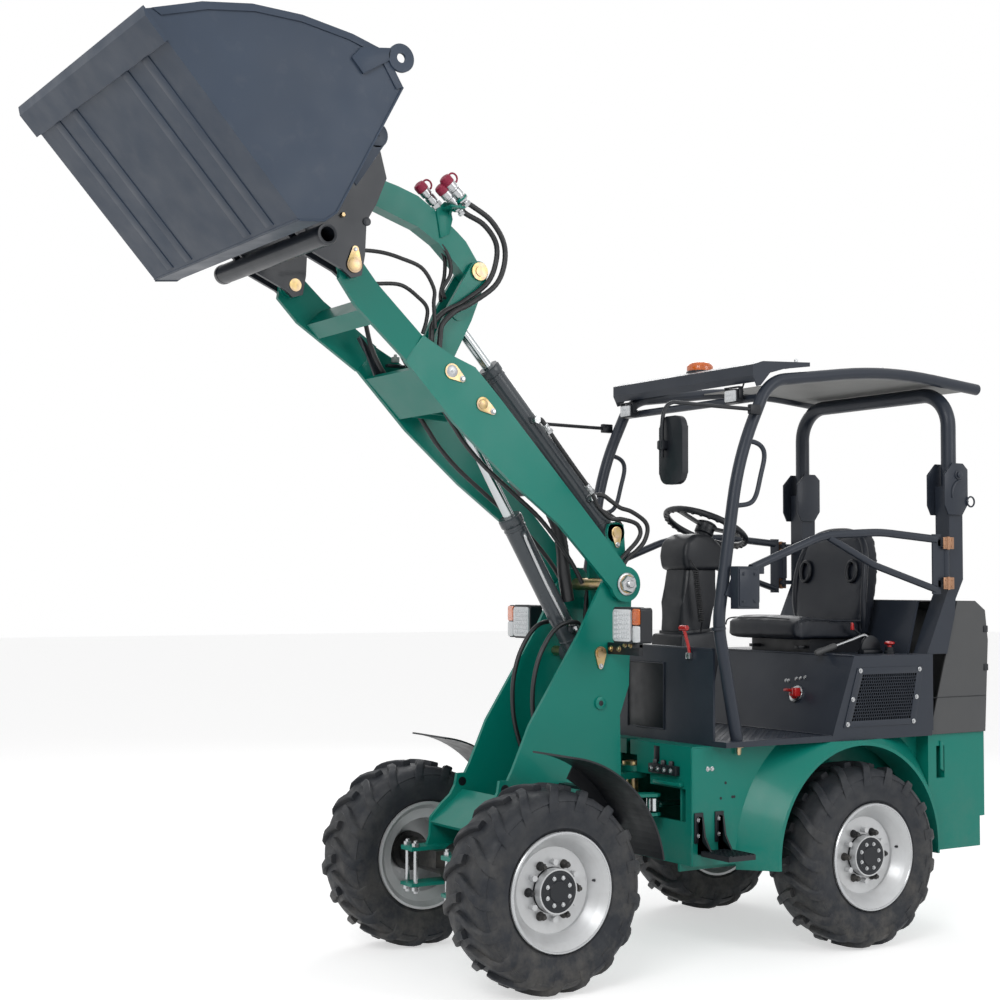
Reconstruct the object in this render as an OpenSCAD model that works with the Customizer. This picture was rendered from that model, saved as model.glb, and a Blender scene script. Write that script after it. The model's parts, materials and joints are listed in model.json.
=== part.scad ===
// Electric yard loader: an articulated compact loader with a parallel-lift boom,
// a high-volume bucket, an open four-post canopy and a battery in the rear frame.
// Frame: the machine faces -Y, its left side is +X, +Z is up, millimetres.
// Inside the modules y is measured from the front axle; centred() moves the whole
// machine so that its origin lies under the middle of its length.

/* [Wheels] */
// Tyre radius out to the lug tips
tyre_r = 380; // [360:5:400]
// Tyre width over the lugs
tyre_w = 264; // [240:4:280]
// Distance between the axles
wheelbase = 1556; // [1540:4:1600]
// Distance from the centre plane to a tyre's middle
half_track = 492; // [480:2:510]
// Rim flange radius
rim_r = 219; // [210:1:225]
// Number of lugs on each side of a tyre
lug_count = 17; // [12:1:20]

/* [Frames] */
// Height of the rear frame's top, under the cab
frame_top = 850; // [840:5:860]
// Height of the rear frame's underside
frame_bottom = 350; // [340:5:380]
// Half width of the rear frame's side plates
frame_half = 420; // [410:5:425]
// Half width over the rear fenders
fender_half = 550; // [540:5:560]
// Distance from the rear axle to the hood's rear face
rear_overhang = 824; // [810:2:840]
// Distance from the front axle to the articulation axis
pivot_y = 778; // [774:1:780]
// Thickness of a tower plate
tower_t = 16; // [12:1:18]
// Centre of a tower plate from the middle
tower_x = 160; // [156:1:162]

/* [Boom] */
// Boom pivot, behind the front axle
boom_y = 596; // [590:1:600]
// Boom pivot height
boom_z = 1497; // [1490:1:1500]
// Arm-tip pivot, behind the front axle
tip_y = -698; // [-700:1:-690]
// Arm-tip pivot height
tip_z = 2650; // [2640:1:2655]
// Thickness of an arm plate
arm_t = 20; // [16:1:20]
// Arm centre from the middle, behind the bend
arm_x = 190; // [188:1:194]
// Arm centre from the middle, at the tip
arm_tip_x = 250; // [246:1:252]

/* [Bucket] */
// Angle of the bucket's floor above level
curl = 48; // [46:1:50]
// Bucket width over the cutting edge
bucket_w = 1350; // [1300:10:1360]
// Thickness of the bucket's sheet
bucket_t = 8; // [6:1:10]

/* [Canopy] */
// Centre of a canopy post from the middle
post_x = 470; // [460:1:475]
// Outer diameter of the canopy tube
post_d = 50; // [44:1:54]
// Top of the roof
roof_z = 2444; // [2430:1:2450]

/* [Hidden] */
$fn = 48;

// Overall reach each way from the front axle, and the middle between them
front_end = -1650;
rear_end = wheelbase + rear_overhang;
mid_y = (front_end + rear_end) / 2;
green = [0.05, 0.45, 0.38];
slate = [0.22, 0.27, 0.34];
iron = [0.17, 0.19, 0.22];
black = [0.05, 0.05, 0.06];
silver = [0.78, 0.81, 0.85];
zinc = [0.85, 0.75, 0.45];
red = [0.8, 0.1, 0.1];
orange = [1, 0.45, 0.05];
lens = [0.9, 0.93, 0.95];
dark_grey = [0.3, 0.3, 0.31];

// [y, z] of the pins, measured from the front axle and the ground
BOOM_PIN = [boom_y, boom_z];
TIP_PIN = [tip_y, tip_z];
LEVER_PIN = [-232, 2304];
LIFT_ROD_PIN = [-93, 2187];
LIFT_BASE_PIN = [489, 1219];
TILT_BASE_PIN = [646, 1710];
TILT_ROD_PIN = [-120, 2557];
LINK_PIN = [-24, 2731];
HITCH_PIN = [-620, 3040];
DOOR_HINGE = [2095, 522];

// --- placing helpers ---------------------------------------------------------

module centred() translate([0, -mid_y, 0]) children();

// Mirror copies on both sides of the middle
module both() {
    children();
    mirror([1, 0, 0]) children();
}

// Extrude a [y, z] outline along X between two x values
module slab(x0, x1) {
    translate([x0, 0, 0]) rotate([90, 0, 90]) linear_extrude(x1 - x0) children();
}

// A cylinder along X between two x values about a [y, z] centre
module pin_x(x0, x1, at, r) {
    translate([x0, at[0], at[1]]) rotate([0, 90, 0]) cylinder(h = x1 - x0, r = r);
}

// A round bar between two points
module bar(a, b, r) {
    d = b - a;
    translate(a) rotate([0, acos(d[2] / norm(d)), atan2(d[1], d[0])])
        cylinder(h = norm(d), r = r);
}

// A box given by its low and high corners
module box(low, high) translate(low) cube(high - low);

function unit(v) = v / norm(v);
function turn_of(a, b, c) = atan2(
    (b[0] - a[0]) * (c[1] - b[1]) - (b[1] - a[1]) * (c[0] - b[0]), (b - a) * (c - b));
function bend_at(bend, i) = is_list(bend) ? bend[i] : bend;
function trim_at(path, i, bend) = (i == 0 || i == len(path) - 1)
    ? 0 : bend_at(bend, i) * tan(abs(turn_of(path[i - 1], path[i], path[i + 1])) / 2);

// A tube along a flat path whose corners are arcs; the path lies in local XY.
// An arc is a hair thinner than the straights and runs a little way into them.
module bent_tube(path, r, bend) {
    thin = 0.25;
    for (i = [0 : len(path) - 2]) {
        u = unit(path[i + 1] - path[i]);
        a = path[i] + u * trim_at(path, i, bend);
        b = path[i + 1] - u * trim_at(path, i + 1, bend);
        bar([a[0], a[1], 0], [b[0], b[1], 0], r);
    }
    for (i = [1 : len(path) - 2]) {
        turn = turn_of(path[i - 1], path[i], path[i + 1]);
        u = unit(path[i] - path[i - 1]);
        start = path[i] - u * trim_at(path, i, bend);
        side = turn > 0 ? 1 : -1;
        turn_r = bend_at(bend, i);
        over = min(1.5, acos(1 - 0.1 / turn_r));
        centre = start + side * turn_r * [-u[1], u[0]];
        from = atan2(start[1] - centre[1], start[0] - centre[0]);
        translate([centre[0], centre[1], 0])
            rotate([0, 0, (turn > 0 ? from : from + turn) - over])
                rotate_extrude(angle = abs(turn) + 2 * over, $fn = turn_r > 300 ? 720 : 96)
                    translate([turn_r, 0]) circle(r = r - thin, $fn = 48);
    }
}

// A bent tube in the plane at x
module side_tube(x, path, r, bend) {
    translate([x, 0, 0]) rotate([90, 0, 90]) bent_tube(path, r, bend);
}

// Points along a path with rounded corners, a few on each arc
function rounded(path, bend, steps = 6) = [
    for (i = [0 : len(path) - 1])
        if (i == 0 || i == len(path) - 1) path[i]
        else let (
            turn = turn_of(path[i - 1], path[i], path[i + 1]),
            u = unit(path[i] - path[i - 1]),
            start = path[i] - u * trim_at(path, i, bend),
            side = turn > 0 ? 1 : -1,
            centre = start + side * bend_at(bend, i) * [-u[1], u[0]],
            spoke = start - centre)
            for (k = [0 : steps]) let (a = turn * k / steps)
                centre + [spoke[0] * cos(a) - spoke[1] * sin(a),
                    spoke[0] * sin(a) + spoke[1] * cos(a)]];

// A ring sector outline about the origin, angles from +Y towards +Z
module sector(r0, r1, a0, a1) {
    steps = 24;
    polygon(concat(
        [for (i = [0 : steps]) let (a = a0 + (a1 - a0) * i / steps) [r1 * cos(a), r1 * sin(a)]],
        [for (i = [steps : -1 : 0]) let (a = a0 + (a1 - a0) * i / steps) [r0 * cos(a), r0 * sin(a)]]));
}

// A flat strap outline: a hull of two circles
module strap(a, b, ra, rb) {
    hull() {
        translate(a) circle(r = ra);
        translate(b) circle(r = rb);
    }
}

// --- wheels ------------------------------------------------------------------

// Half of the carcass section: [radius, half width at it], out to the tread
CARCASS = [[205, 108], [232, 118], [275, 131], [310, 132], [342, 124], [350, 104]];

module tyre(x, y) {
    color(black) centred() translate([x, y, tyre_r]) rotate([0, 90, 0])
        rotate_extrude() difference() {
            polygon(concat(
                [for (p = CARCASS) [p[0], p[1]]],
                [[tyre_r, 104], [tyre_r, -104]],
                [for (i = [len(CARCASS) - 1 : -1 : 0]) [CARCASS[i][0], -CARCASS[i][1]]]));
        }
}

SPINDLE_R = 35;

// A rim: flanges, well, dished disc and hub, its outer side towards +X
module rim(x, y, side) {
    color(silver) centred() translate([x, y, tyre_r]) mirror([side > 0 ? 0 : 1, 0, 0])
        rotate([0, 90, 0]) {
            rotate_extrude() polygon([
                [rim_r, -125], [rim_r, -113], [204.9, -107], [204.9, 107], [rim_r, 113], [rim_r, 125],
                [209, 125], [196, 112], [186, 100], [160, 64], [157, 56], [60, 56], [60, 44],
                [150, 44], [150, -90], [190, -104], [209, -125]]);
            difference() {
                translate([0, 0, 44]) cylinder(r = 82, h = 56);
                translate([0, 0, 40]) cylinder(r = SPINDLE_R + 0.05, h = 52);
            }
            for (a = [0 : 60 : 300])
                rotate([0, 0, a]) translate([104, 0, 56]) cylinder(r = 11, h = 26);
        }
}

// --- rear frame --------------------------------------------------------------

ARCH_R = 445;
ARCH_Z = 385;
FRAME_FRONT = 757;
BLOCK_FRONT = 2010;
BLOCK_BACK = rear_end - 20;
BLOCK_HALF = 488;

RAIL_X = 330;
SHEET = 12;
KNUCKLE_Z = [470, 720];
KNUCKLE_T = 24;

module rear_frame() {
    color(green) centred() difference() {
        union() {
            both() {
                slab(RAIL_X, RAIL_X + SHEET) polygon([[FRAME_FRONT, frame_bottom],
                    [FRAME_FRONT, frame_top], [BLOCK_FRONT, frame_top], [BLOCK_FRONT, frame_bottom]]);
                slab(frame_half - SHEET, frame_half) polygon([[FRAME_FRONT, frame_bottom + 30],
                    [FRAME_FRONT, frame_top], [BLOCK_FRONT, frame_top], [BLOCK_FRONT, frame_bottom]]);
            }
            box([-frame_half, FRAME_FRONT, frame_bottom + 30], [frame_half, FRAME_FRONT + SHEET, frame_top]);
            box([-frame_half, FRAME_FRONT, frame_top - SHEET], [frame_half, BLOCK_FRONT, frame_top]);
            box([-RAIL_X, FRAME_FRONT, frame_bottom + 30], [RAIL_X, 1300, frame_bottom + 42]);
            box([-BLOCK_HALF, BLOCK_FRONT, 480], [BLOCK_HALF, BLOCK_BACK, frame_top]);
            box([-BLOCK_HALF, BLOCK_FRONT, frame_bottom], [BLOCK_HALF, BLOCK_BACK - 30, 480]);
            for (z = KNUCKLE_Z)
                knuckle(z, FRAME_FRONT + 110, 60, 140);
        }
        // open wheel wells, and the window that the front frame's tongue swings in
        both() pin_x(RAIL_X + SHEET, 600, [wheelbase, ARCH_Z], ARCH_R);
        pin_x(-500, 500, [wheelbase, tyre_r], 95);
        box([-150, FRAME_FRONT - 1, KNUCKLE_Z[0] + KNUCKLE_T], [150, FRAME_FRONT + SHEET + 1, KNUCKLE_Z[1]]);
        // opening for the steering cylinder
        box([110, FRAME_FRONT - 1, 550], [380, FRAME_FRONT + SHEET + 1, 680]);
        box([-60, FRAME_FRONT - 1, KNUCKLE_Z[1] + KNUCKLE_T], [60, FRAME_FRONT + SHEET + 1, 790]);
        // latch pockets in the block's sides
        both() box([440, 2060, 660], [520, 2110, 800]);
        translate([0, pivot_y, 300]) cylinder(r = PIVOT_R + 0.05, h = 600);
    }
}

PIVOT_R = 25;

// A level plate with a round nose about the articulation axis, its root at root_y
module knuckle(z, root_y, nose_r, root_half) {
    translate([0, 0, z]) linear_extrude(KNUCKLE_T) difference() {
        union() {
            translate([0, pivot_y]) circle(r = nose_r);
            polygon([[-nose_r, pivot_y], [nose_r, pivot_y], [root_half, root_y], [-root_half, root_y]]);
        }
        translate([0, pivot_y]) circle(r = PIVOT_R + 0.05);
    }
}

// Flared fenders: a cone outside, a round arch inside, on the frame's side plates
module rear_fenders() {
    color(green) centred() both() intersection() {
        translate([frame_half, wheelbase, ARCH_Z]) rotate([0, 90, 0]) rotate_extrude()
            polygon([[ARCH_R, 0], [ARCH_R + 130, 0], [ARCH_R + 14, fender_half - frame_half],
                [ARCH_R, fender_half - frame_half]]);
        box([frame_half, 900, frame_bottom], [fender_half, BLOCK_FRONT, frame_top]);
    }
}

module battery_block() {
    color(dark_grey) centred() box([-300, 1600, FLOOR_Z], [300, 1980, 1150]);
}

// An axle beam with its differential, hub flanges and the spindles that carry the wheels
module axle(y) {
    hub_face = half_track + 38;
    pin_x(-hub_face, hub_face, [y, tyre_r], 58);
    pin_x(-110, 110, [y, tyre_r], 92);
    both() {
        pin_x(hub_face - 30, hub_face, [y, tyre_r], 80);
        pin_x(hub_face, half_track + 84, [y, tyre_r], SPINDLE_R);
    }
}

module rear_axle() color(iron) centred() {
    axle(wheelbase);
    both() box([RAIL_X - 50, wheelbase - 60, tyre_r], [RAIL_X, wheelbase + 60, 520]);
}

module steps() {
    color(black) centred() both() {
        box([frame_half + 40, 770, 425], [630, 905, 445]);
        for (y = [785, 890])
            slab_y(y, y + 8, [[frame_half, 430], [frame_half + 80, 430], [frame_half + 80, 445],
                [frame_half + 30, 480], [frame_half + 30, 575], [frame_half, 575]]);
    }
}

// Extrude an [x, z] outline along Y between two y values
module slab_y(y0, y1, outline) {
    translate([0, y1, 0]) rotate([90, 0, 0]) linear_extrude(y1 - y0) polygon(outline);
}

// --- cab ---------------------------------------------------------------------

CAB_FRONT = 850;
FLOOR_Z = frame_top + 22;
BOX_FRONT = 1420;
BOX_TOP = 1200;
CAB_HALF = 520;

module cab_tub() {
    color(iron) centred() {
        box([-CAB_HALF, CAB_FRONT, frame_top], [CAB_HALF, BOX_BACK - 8, FLOOR_Z]);
        box([-CAB_HALF + 80, CAB_FRONT, FLOOR_Z], [CAB_HALF - 80, CAB_FRONT + 10, 1240]);
    }
}

BOX_BACK = 2010;

module seat_box() {
    color(iron) centred() difference() {
        slab(-CAB_HALF, CAB_HALF) polygon([[BOX_FRONT, FLOOR_Z], [BOX_FRONT + 125, BOX_TOP],
            [BOX_BACK, BOX_TOP], [BOX_BACK, FLOOR_Z]]);
        slab(-CAB_HALF + 8, CAB_HALF - 8) polygon([[BOX_FRONT + 10, FLOOR_Z - 1],
            [BOX_FRONT + 133, BOX_TOP - 8], [BOX_BACK - 8, BOX_TOP - 8], [BOX_BACK - 8, FLOOR_Z - 1]]);
        both() slab(CAB_HALF - 20, CAB_HALF + 20)
            polygon([[1500, 925], [1575, 1130], [1930, 1130], [1880, 925]]);
    }
}

module back_wall() {
    color(iron) centred() slab(-420, 420)
        polygon([[1960, BOX_TOP], [2025, 1430], [2035, 1430], [1970, BOX_TOP]]);
}

module vent_grilles() {
    color(black) centred() both() slab(CAB_HALF, CAB_HALF + 4)
        polygon([[1480, 905], [1562, 1150], [1950, 1150], [1900, 905]]);
}

HOOD_HALF = 500;
HOOD_HINGE = [2176, 1420];

module rear_hood() {
    color(dark_grey) centred() difference() {
        union() {
            slab(-HOOD_HALF, HOOD_HALF) hood_outline();
            both() pin_x(385, 425, HOOD_HINGE, 11);
        }
        slab(-HOOD_HALF + 6, HOOD_HALF - 6) hood_hollow(6);
        pin_x(-430, 430, HOOD_HINGE, 6.05);
        both() box([post_x - 44, 2140, 1390], [post_x + 4, 2202, 1440]);
    }
}

module hood_outline() {
    polygon([[2009, frame_top + 2], [2186, 1430], [rear_end - 80, 1430], [rear_end - 17, 1388],
        [rear_end, 1255], [rear_end - 22, frame_top + 2]]);
}

// The space under the hood, open below and towards the seat
module hood_hollow(t) {
    polygon([[1900, 800], [1900, 1400], [2178, 1430 - t], [rear_end - 82, 1430 - t], [rear_end - 22, 1385],
        [rear_end - t, 1255], [rear_end - 25 - t, 800]]);
}

module seat_base() {
    color(black) centred() {
        box([-190, 1600, BOX_TOP], [190, 1930, BOX_TOP + 60]);
    }
}

module seat_cushion() {
    color(black) centred() box([-240, 1480, BOX_TOP + 60], [240, 1880, BOX_TOP + 165]);
}

module seat_back() {
    color(black) centred() slab(-235, 235)
        polygon([[1880, BOX_TOP + 60], [1880, 1400], [1930, 1720], [2010, 1720], [1955, 1400],
            [1940, BOX_TOP + 60]]);
}

module steering_console() {
    color(black) centred() {
        slab(-110, 110) polygon([[900, FLOOR_Z], [950, 1300], [1010, 1600], [1080, 1680],
            [1160, 1640], [1180, 1500], [1080, FLOOR_Z]]);
        translate([0, 1175, 1745]) rotate([-WHEEL_LEAN, 0, 0])
            translate([0, 0, -150]) cylinder(r = 35, h = 129);
    }
}

module control_levers() {
    color(red) centred() {
        bar([200, 1700, BOX_TOP], [200, 1700, BOX_TOP + 60], 10);
    }
}

// --- steering wheel ----------------------------------------------------------

WHEEL_AT = [0, 1175, 1745];
WHEEL_LEAN = 25;

module steering_wheel() {
    color(black) centred() translate(WHEEL_AT) rotate([-WHEEL_LEAN, 0, 0]) {
        rotate_extrude() translate([180, 0]) circle(r = 14);
        translate([0, 0, -20]) cylinder(r = 40, h = 32);
        for (a = [30 : 120 : 270])
            rotate([0, 0, a]) translate([30, -12, -6]) cube([150, 24, 12]);
        rotate([0, 0, 150]) translate([180, 0, 0]) cylinder(r = 16, h = 55);
    }
}

// --- canopy ------------------------------------------------------------------

// [y, z] corners of a front post and the roof rail that it becomes, and their bends
POST_PATH = [[947, FLOOR_Z], [850, 1340], [960, 2010], [1120, 2335], [1800, 2425], [2356, 2378]];
POST_BEND = [0, 400, 1200, 170, 2500, 0];
HOOP_Y = 2172;

module front_hoop() {
    color(iron) centred() {
        difference() {
            both() side_tube(post_x, POST_PATH, post_d / 2, POST_BEND);
            box([-600, CAB_FRONT, FLOOR_Z - 100], [600, 1100, FLOOR_Z]);
        }
        bar([-post_x, 1085, 2265], [post_x, 1085, 2265], 16);
    }
}

module rear_hoop() {
    color(iron) centred() {
        translate([0, HOOP_Y, 0]) rotate([90, 0, 0])
            bent_tube([[-post_x, 1935], [-post_x, 2352], [post_x, 2352], [post_x, 1935]], 33, 150);
    }
}

module hoop_legs() {
    color(iron) centred() both() {
        slab(post_x - 40, post_x + 40) polygon([[1985, BOX_TOP], [2130, 1500], [2130, 1935],
            [2214, 1935], [2214, 1524], [2166, 1438], [2160, 1370], [2110, BOX_TOP]]);
        // hinge of the hood: a lug with its stub pin
        pin_x(380, post_x, HOOD_HINGE, 6);
        pin_x(post_x - 40, post_x, HOOD_HINGE, 12);
        slab(post_x - 40, post_x) polygon([[2150, 1400], [2176, 1408.5], [2176, 1431.5], [2150, 1438]]);
        difference() {
            for (z = [1500, 1676])
                box([post_x + 20, 2080, z], [DOOR_HINGE[1] + 15, 2135, z + 20]);
            translate([DOOR_HINGE[1], DOOR_HINGE[0], 1400]) cylinder(r = HINGE_R + 0.05, h = 400);
        }
    }
}

// Roof sheet between the rails, at their middle height
module roof_panel() {
    rail = [for (q = rounded(POST_PATH, POST_BEND)) if (q[1] > 2358) q];
    color(iron) centred() slab(-post_x + post_d / 2 + 0.5, post_x - post_d / 2 - 0.5)
        polygon(concat([for (q = rail) q + [0, 3]],
            [for (i = [len(rail) - 1 : -1 : 0]) rail[i] - [0, 3]]));
}

VISOR_HALF = 480;

module visor() {
    color(iron) centred() difference() {
        slab(-VISOR_HALF, VISOR_HALF) polygon([[1029, 2395], [1029, 2350], [1052, 2306],
            [1072, 2312], [1122, 2366], [1200, 2388], [1342, 2408], [1342, 2425], [1083, 2412]]);
        slab(-VISOR_HALF + 5, VISOR_HALF - 5) polygon([[1035, 2390], [1035, 2352], [1052, 2290],
            [1400, 2290], [1400, 2419], [1086, 2406]]);
    }
}

module beacon() {
    color(orange) centred() translate([-20, 1160, 2421]) cylinder(r = 60, h = 45);
}

module work_lamps() {
    color(lens) centred() both() box([330, 1005, 2240], [400, 1045, 2302]);
}

module mirrors() {
    color(black) centred() both() {
        bar([post_x, 1010, 2206], [post_x + 60, 600, 2209], 10);
        box([post_x, 560, 1880], [post_x + 150, 590, 2160]);
    }
}

// --- doors -------------------------------------------------------------------

HINGE_R = 9;

DOOR_PATH = [[980, 1563], [1374, 1704], [1700, 1722], [2030, 1698]];

module door() {
    side_tube(DOOR_HINGE[1], DOOR_PATH, 17, [0, 500, 900, 0]);
    side_tube(DOOR_HINGE[1], [[1400, 1695], [1660, 1582], [2030, 1480]], 15, 300);
    box([DOOR_HINGE[1] - 4, 2010, 1460], [DOOR_HINGE[1] + 4, 2058, 1720]);
    box([DOOR_HINGE[1] - 4, 2050, 1530], [DOOR_HINGE[1] + 4, DOOR_HINGE[0], 1665]);
    box([DOOR_HINGE[1] - 20, 890, 1400], [DOOR_HINGE[1] + 25, 1000, 1570]);
    translate([DOOR_HINGE[1], DOOR_HINGE[0], 1490]) cylinder(r = HINGE_R, h = 216);
    translate([DOOR_HINGE[1], DOOR_HINGE[0], 1530]) cylinder(r = 14, h = 135);
}

module door_left() color(iron) centred() door();
module door_right() color(iron) centred() mirror([1, 0, 0]) door();

// --- front frame -------------------------------------------------------------

// [y, z] outline of a tower plate, from the pivot boss round the front edge to the foot
TOWER = [[545, 1552], [500, 1500], [390, 1304], [152, 945], [74, 774], [52, 735], [14, 735],
    [6, 690], [-16, 653], [-56, 620], [-106, 568], [-110, 497], [-123, 462], [150, 462],
    [300, 420], [594, 420], [594, 745], [589, 967], [634, 1087], [646, 1432], [660, 1470]];

module front_frame() {
    color(green) centred() difference() {
        union() {
            both() slab(tower_x - tower_t / 2, tower_x + tower_t / 2) union() {
                polygon(TOWER);
                translate(BOOM_PIN) circle(r = 70);
            }
            // foot plates over the axle, and cross plates between the towers
            both() box([112, -215, 446], [tower_x + 40, 180, 462]);
            slab(-tower_x + tower_t / 2, tower_x - tower_t / 2)
                polygon([[-100, 540], [40, 655], [40, 671], [-110, 552]]);
            box([-152, 560, 440], [152, 576, 960]);
            box([-152, 100, 446], [152, 560, 462]);
            // lugs that carry the tilt cylinder
            both() slab(46, 62) polygon([[585, 1560], [610, 1745], [685, 1745], [700, 1560], [690, 1400], [600, 1400]]);
            box([-152, 628, 1390], [152, 644, 1440]);
            // lugs that take the steering cylinder's rod
            for (z = [STEER_Z - 44, STEER_Z + 32])
                translate([0, 0, z]) linear_extrude(12)
                    polygon([[150, 480], [170, 480], [250, 640], [272, 700], [262, 722], [218, 722], [150, 594]]);
            // knuckles of the articulation
            for (z = [KNUCKLE_Z[0] + KNUCKLE_T + 2, KNUCKLE_Z[1] - KNUCKLE_T - 2])
                knuckle(z, 570, 58, 110);
        }
        pin_x(-300, 300, BOOM_PIN, BOOM_R + 0.05);
        pin_x(-300, 300, LIFT_BASE_PIN, PIN_R + 0.05);
        pin_x(-300, 300, TILT_BASE_PIN, PIN_R + 0.05);
        both() pin_x(100, 300, [38, 702], 18);
    }
}

BOOM_R = 25;
PIN_R = 20;

// Pins of the boom pivot and of the lift cylinder's foot
module tower_pins() {
    color(zinc) centred() {
        pin_x(-212, 212, BOOM_PIN, BOOM_R);
        both() pin_x(201, 212, BOOM_PIN, 38);
        pin_x(-180, 180, LIFT_BASE_PIN, PIN_R);
        both() slab(tower_x + 8.5, tower_x + 15) strap(LIFT_BASE_PIN, LIFT_BASE_PIN + [0, -52], 27, 12);
    }
}

module tilt_base_pin() {
    color(zinc) centred() pin_x(-72, 72, TILT_BASE_PIN, PIN_R);
}

module pivot_knuckle() {
    color(zinc) centred() translate([0, pivot_y, 0]) {
        translate([0, 0, KNUCKLE_Z[0] - 30]) cylinder(r = PIVOT_R, h = 320);
        translate([0, 0, KNUCKLE_Z[1] + KNUCKLE_T + 1]) cylinder(r = 42, h = 14);
    }
}

module front_axle() color(iron) centred() {
    axle(0);
    both() box([70, -130, tyre_r], [200, 130, 446]);
}

FENDER_R = 487;

module front_fenders() {
    color(black) centred() both() {
        slab(330, 600) translate([0, tyre_r]) sector(FENDER_R - 7, FENDER_R, 9, 83);
        slab(330, 336) translate([0, tyre_r]) sector(FENDER_R - 60, FENDER_R, 20, 60);
        box([tower_x + tower_t / 2, 290, 700], [330, 330, 712]);
    }
}

module head_lamps() {
    color(lens) centred() both() {
        box([296, 450, 1264], [475, 520, 1407]);
        box([tower_x + tower_t / 2, 525, 1215], [380, 545, 1262]);
        box([300, 500, 1250], [380, 540, 1280]);
    }
}

// --- boom --------------------------------------------------------------------

// [y, z] outline of an arm in side view, lower edge first
ARM_REAR = [[-357, 2432], [-434, 2332], [-215, 2107], [34, 1898], [270, 1729], [565, 1440],
    [640, 1440], [660, 1500], [630, 1534], [565, 1606], [465, 1713], [-12, 2215], [-126, 2328], [-230, 2366]];
ARM_FRONT = [[-357, 2432], [-434, 2332], [-671, 2509], [-749, 2600], [-740, 2680], [-660, 2690], [-571, 2600]];

module boom() {
    color(green) centred() difference() {
        union() {
            both() {
                slab(arm_x - arm_t / 2, arm_x + arm_t / 2) union() {
                    polygon(ARM_REAR);
                    translate(BOOM_PIN) circle(r = 72);
                }
                pin_x(tower_x + tower_t / 2 + 1.5, arm_x, BOOM_PIN, 50);
                arm_front();
                slab(arm_tip_x - arm_t / 2, arm_tip_x + arm_t / 2) translate(TIP_PIN) circle(r = 50);
                pin_x(arm_tip_x - 18, arm_tip_x + 18, TIP_PIN, 42);
                // lugs of the lift cylinder's head
                slab(66, 82) polygon([[-93 + 45, 2187], [-93, 2187 + 45], [-150, 2225],
                    [-300, 2215], [-250, 2150], [-93, 2142]]);
            }
            // cross members
            slab(-arm_x - 30, arm_x + 30) polygon([[-640, 2500], [-580, 2560], [-530, 2510], [-590, 2450]]);
            slab(-arm_x + arm_t / 2, arm_x - arm_t / 2) polygon([[-400, 2300], [-250, 2150], [-240, 2162], [-390, 2312]]);
        }
        pin_x(-300, 300, BOOM_PIN, BOOM_R + 0.05);
        pin_x(-300, 300, TIP_PIN, BOOM_R + 0.05);
        pin_x(-300, 300, LEVER_PIN, BOOM_R + 0.05);
        pin_x(-300, 300, LIFT_ROD_PIN, PIN_R + 0.05);
    }
}

// How far an arm's front part steps outwards for each millimetre forwards
SPLAY = (arm_tip_x - arm_x) / (-396 - tip_y);

// The splayed front of an arm: its outline sheared outwards from the bend
module arm_front() {
    multmatrix([[1, -SPLAY, 0, -396 * SPLAY], [0, 1, 0, 0], [0, 0, 1, 0]])
        slab(arm_x - arm_t / 2, arm_x + arm_t / 2) polygon(ARM_FRONT);
}

// Stub pins of the lift cylinder's head, and the flag plates of the arm pins
module boom_pins() {
    color(zinc) centred() both() {
        pin_x(38, 206, LIFT_ROD_PIN, PIN_R);
        slab(arm_x + 10.5, arm_x + 16) difference() {
            strap(LEVER_PIN, LEVER_PIN + [46, -26], 30, 13);
            translate(LEVER_PIN) circle(r = BOOM_R + 0.05);
        }
    }
}

module level_pins() {
    color(zinc) centred() both() pin_x(202, 296, TIP_PIN, BOOM_R);
}

module lever_pin() {
    color(zinc) centred() pin_x(-207, 207, LEVER_PIN, BOOM_R);
}

module link_pin() {
    color(zinc) centred() {
        pin_x(-72, 72, LINK_PIN, PIN_R);
        both() pin_x(58.5, 68, LINK_PIN, 36);
    }
}

LEVER_MID = TILT_ROD_PIN + [10, 0];

module tilt_lever() {
    color(green) centred() difference() {
        union() {
            both() {
                slab(40, 58) union() {
                    strap(LEVER_PIN, LEVER_MID, 50, 58);
                    strap(LEVER_MID, LINK_PIN, 58, 42);
                }
                pin_x(58, 176, LEVER_PIN, 42);
                pin_x(58, 64, TILT_ROD_PIN, 30);
            }
            pin_x(-58, 58, LEVER_PIN, 42);
        }
        pin_x(-200, 200, LEVER_PIN, BOOM_R + 0.05);
        pin_x(-100, 100, LINK_PIN, PIN_R + 0.05);
    }
}

module guide_link() {
    color(green) centred() difference() {
        slab(-34, 34) union() {
            polygon([[14, 2750], [-20, 2780], [-70, 2850], [-107, 2881], [-199, 2949],
                [-289, 3005], [-378, 3032], [-600, 3082], [-640, 3000], [-482, 2945],
                [-377, 2911], [-288, 2883], [-198, 2831], [-120, 2760], [-60, 2700], [-24, 2690]]);
            translate(LINK_PIN) circle(r = 42);
            translate(HITCH_PIN) circle(r = 42);
        }
        pin_x(-100, 100, LINK_PIN, PIN_R + 0.05);
    }
}

// --- hitch and bucket --------------------------------------------------------

// Both are drawn level about the arm-tip pin and then curled back
module curled() {
    translate([0, tip_y, tip_z]) rotate([-curl, 0, 0]) children();
}

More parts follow.
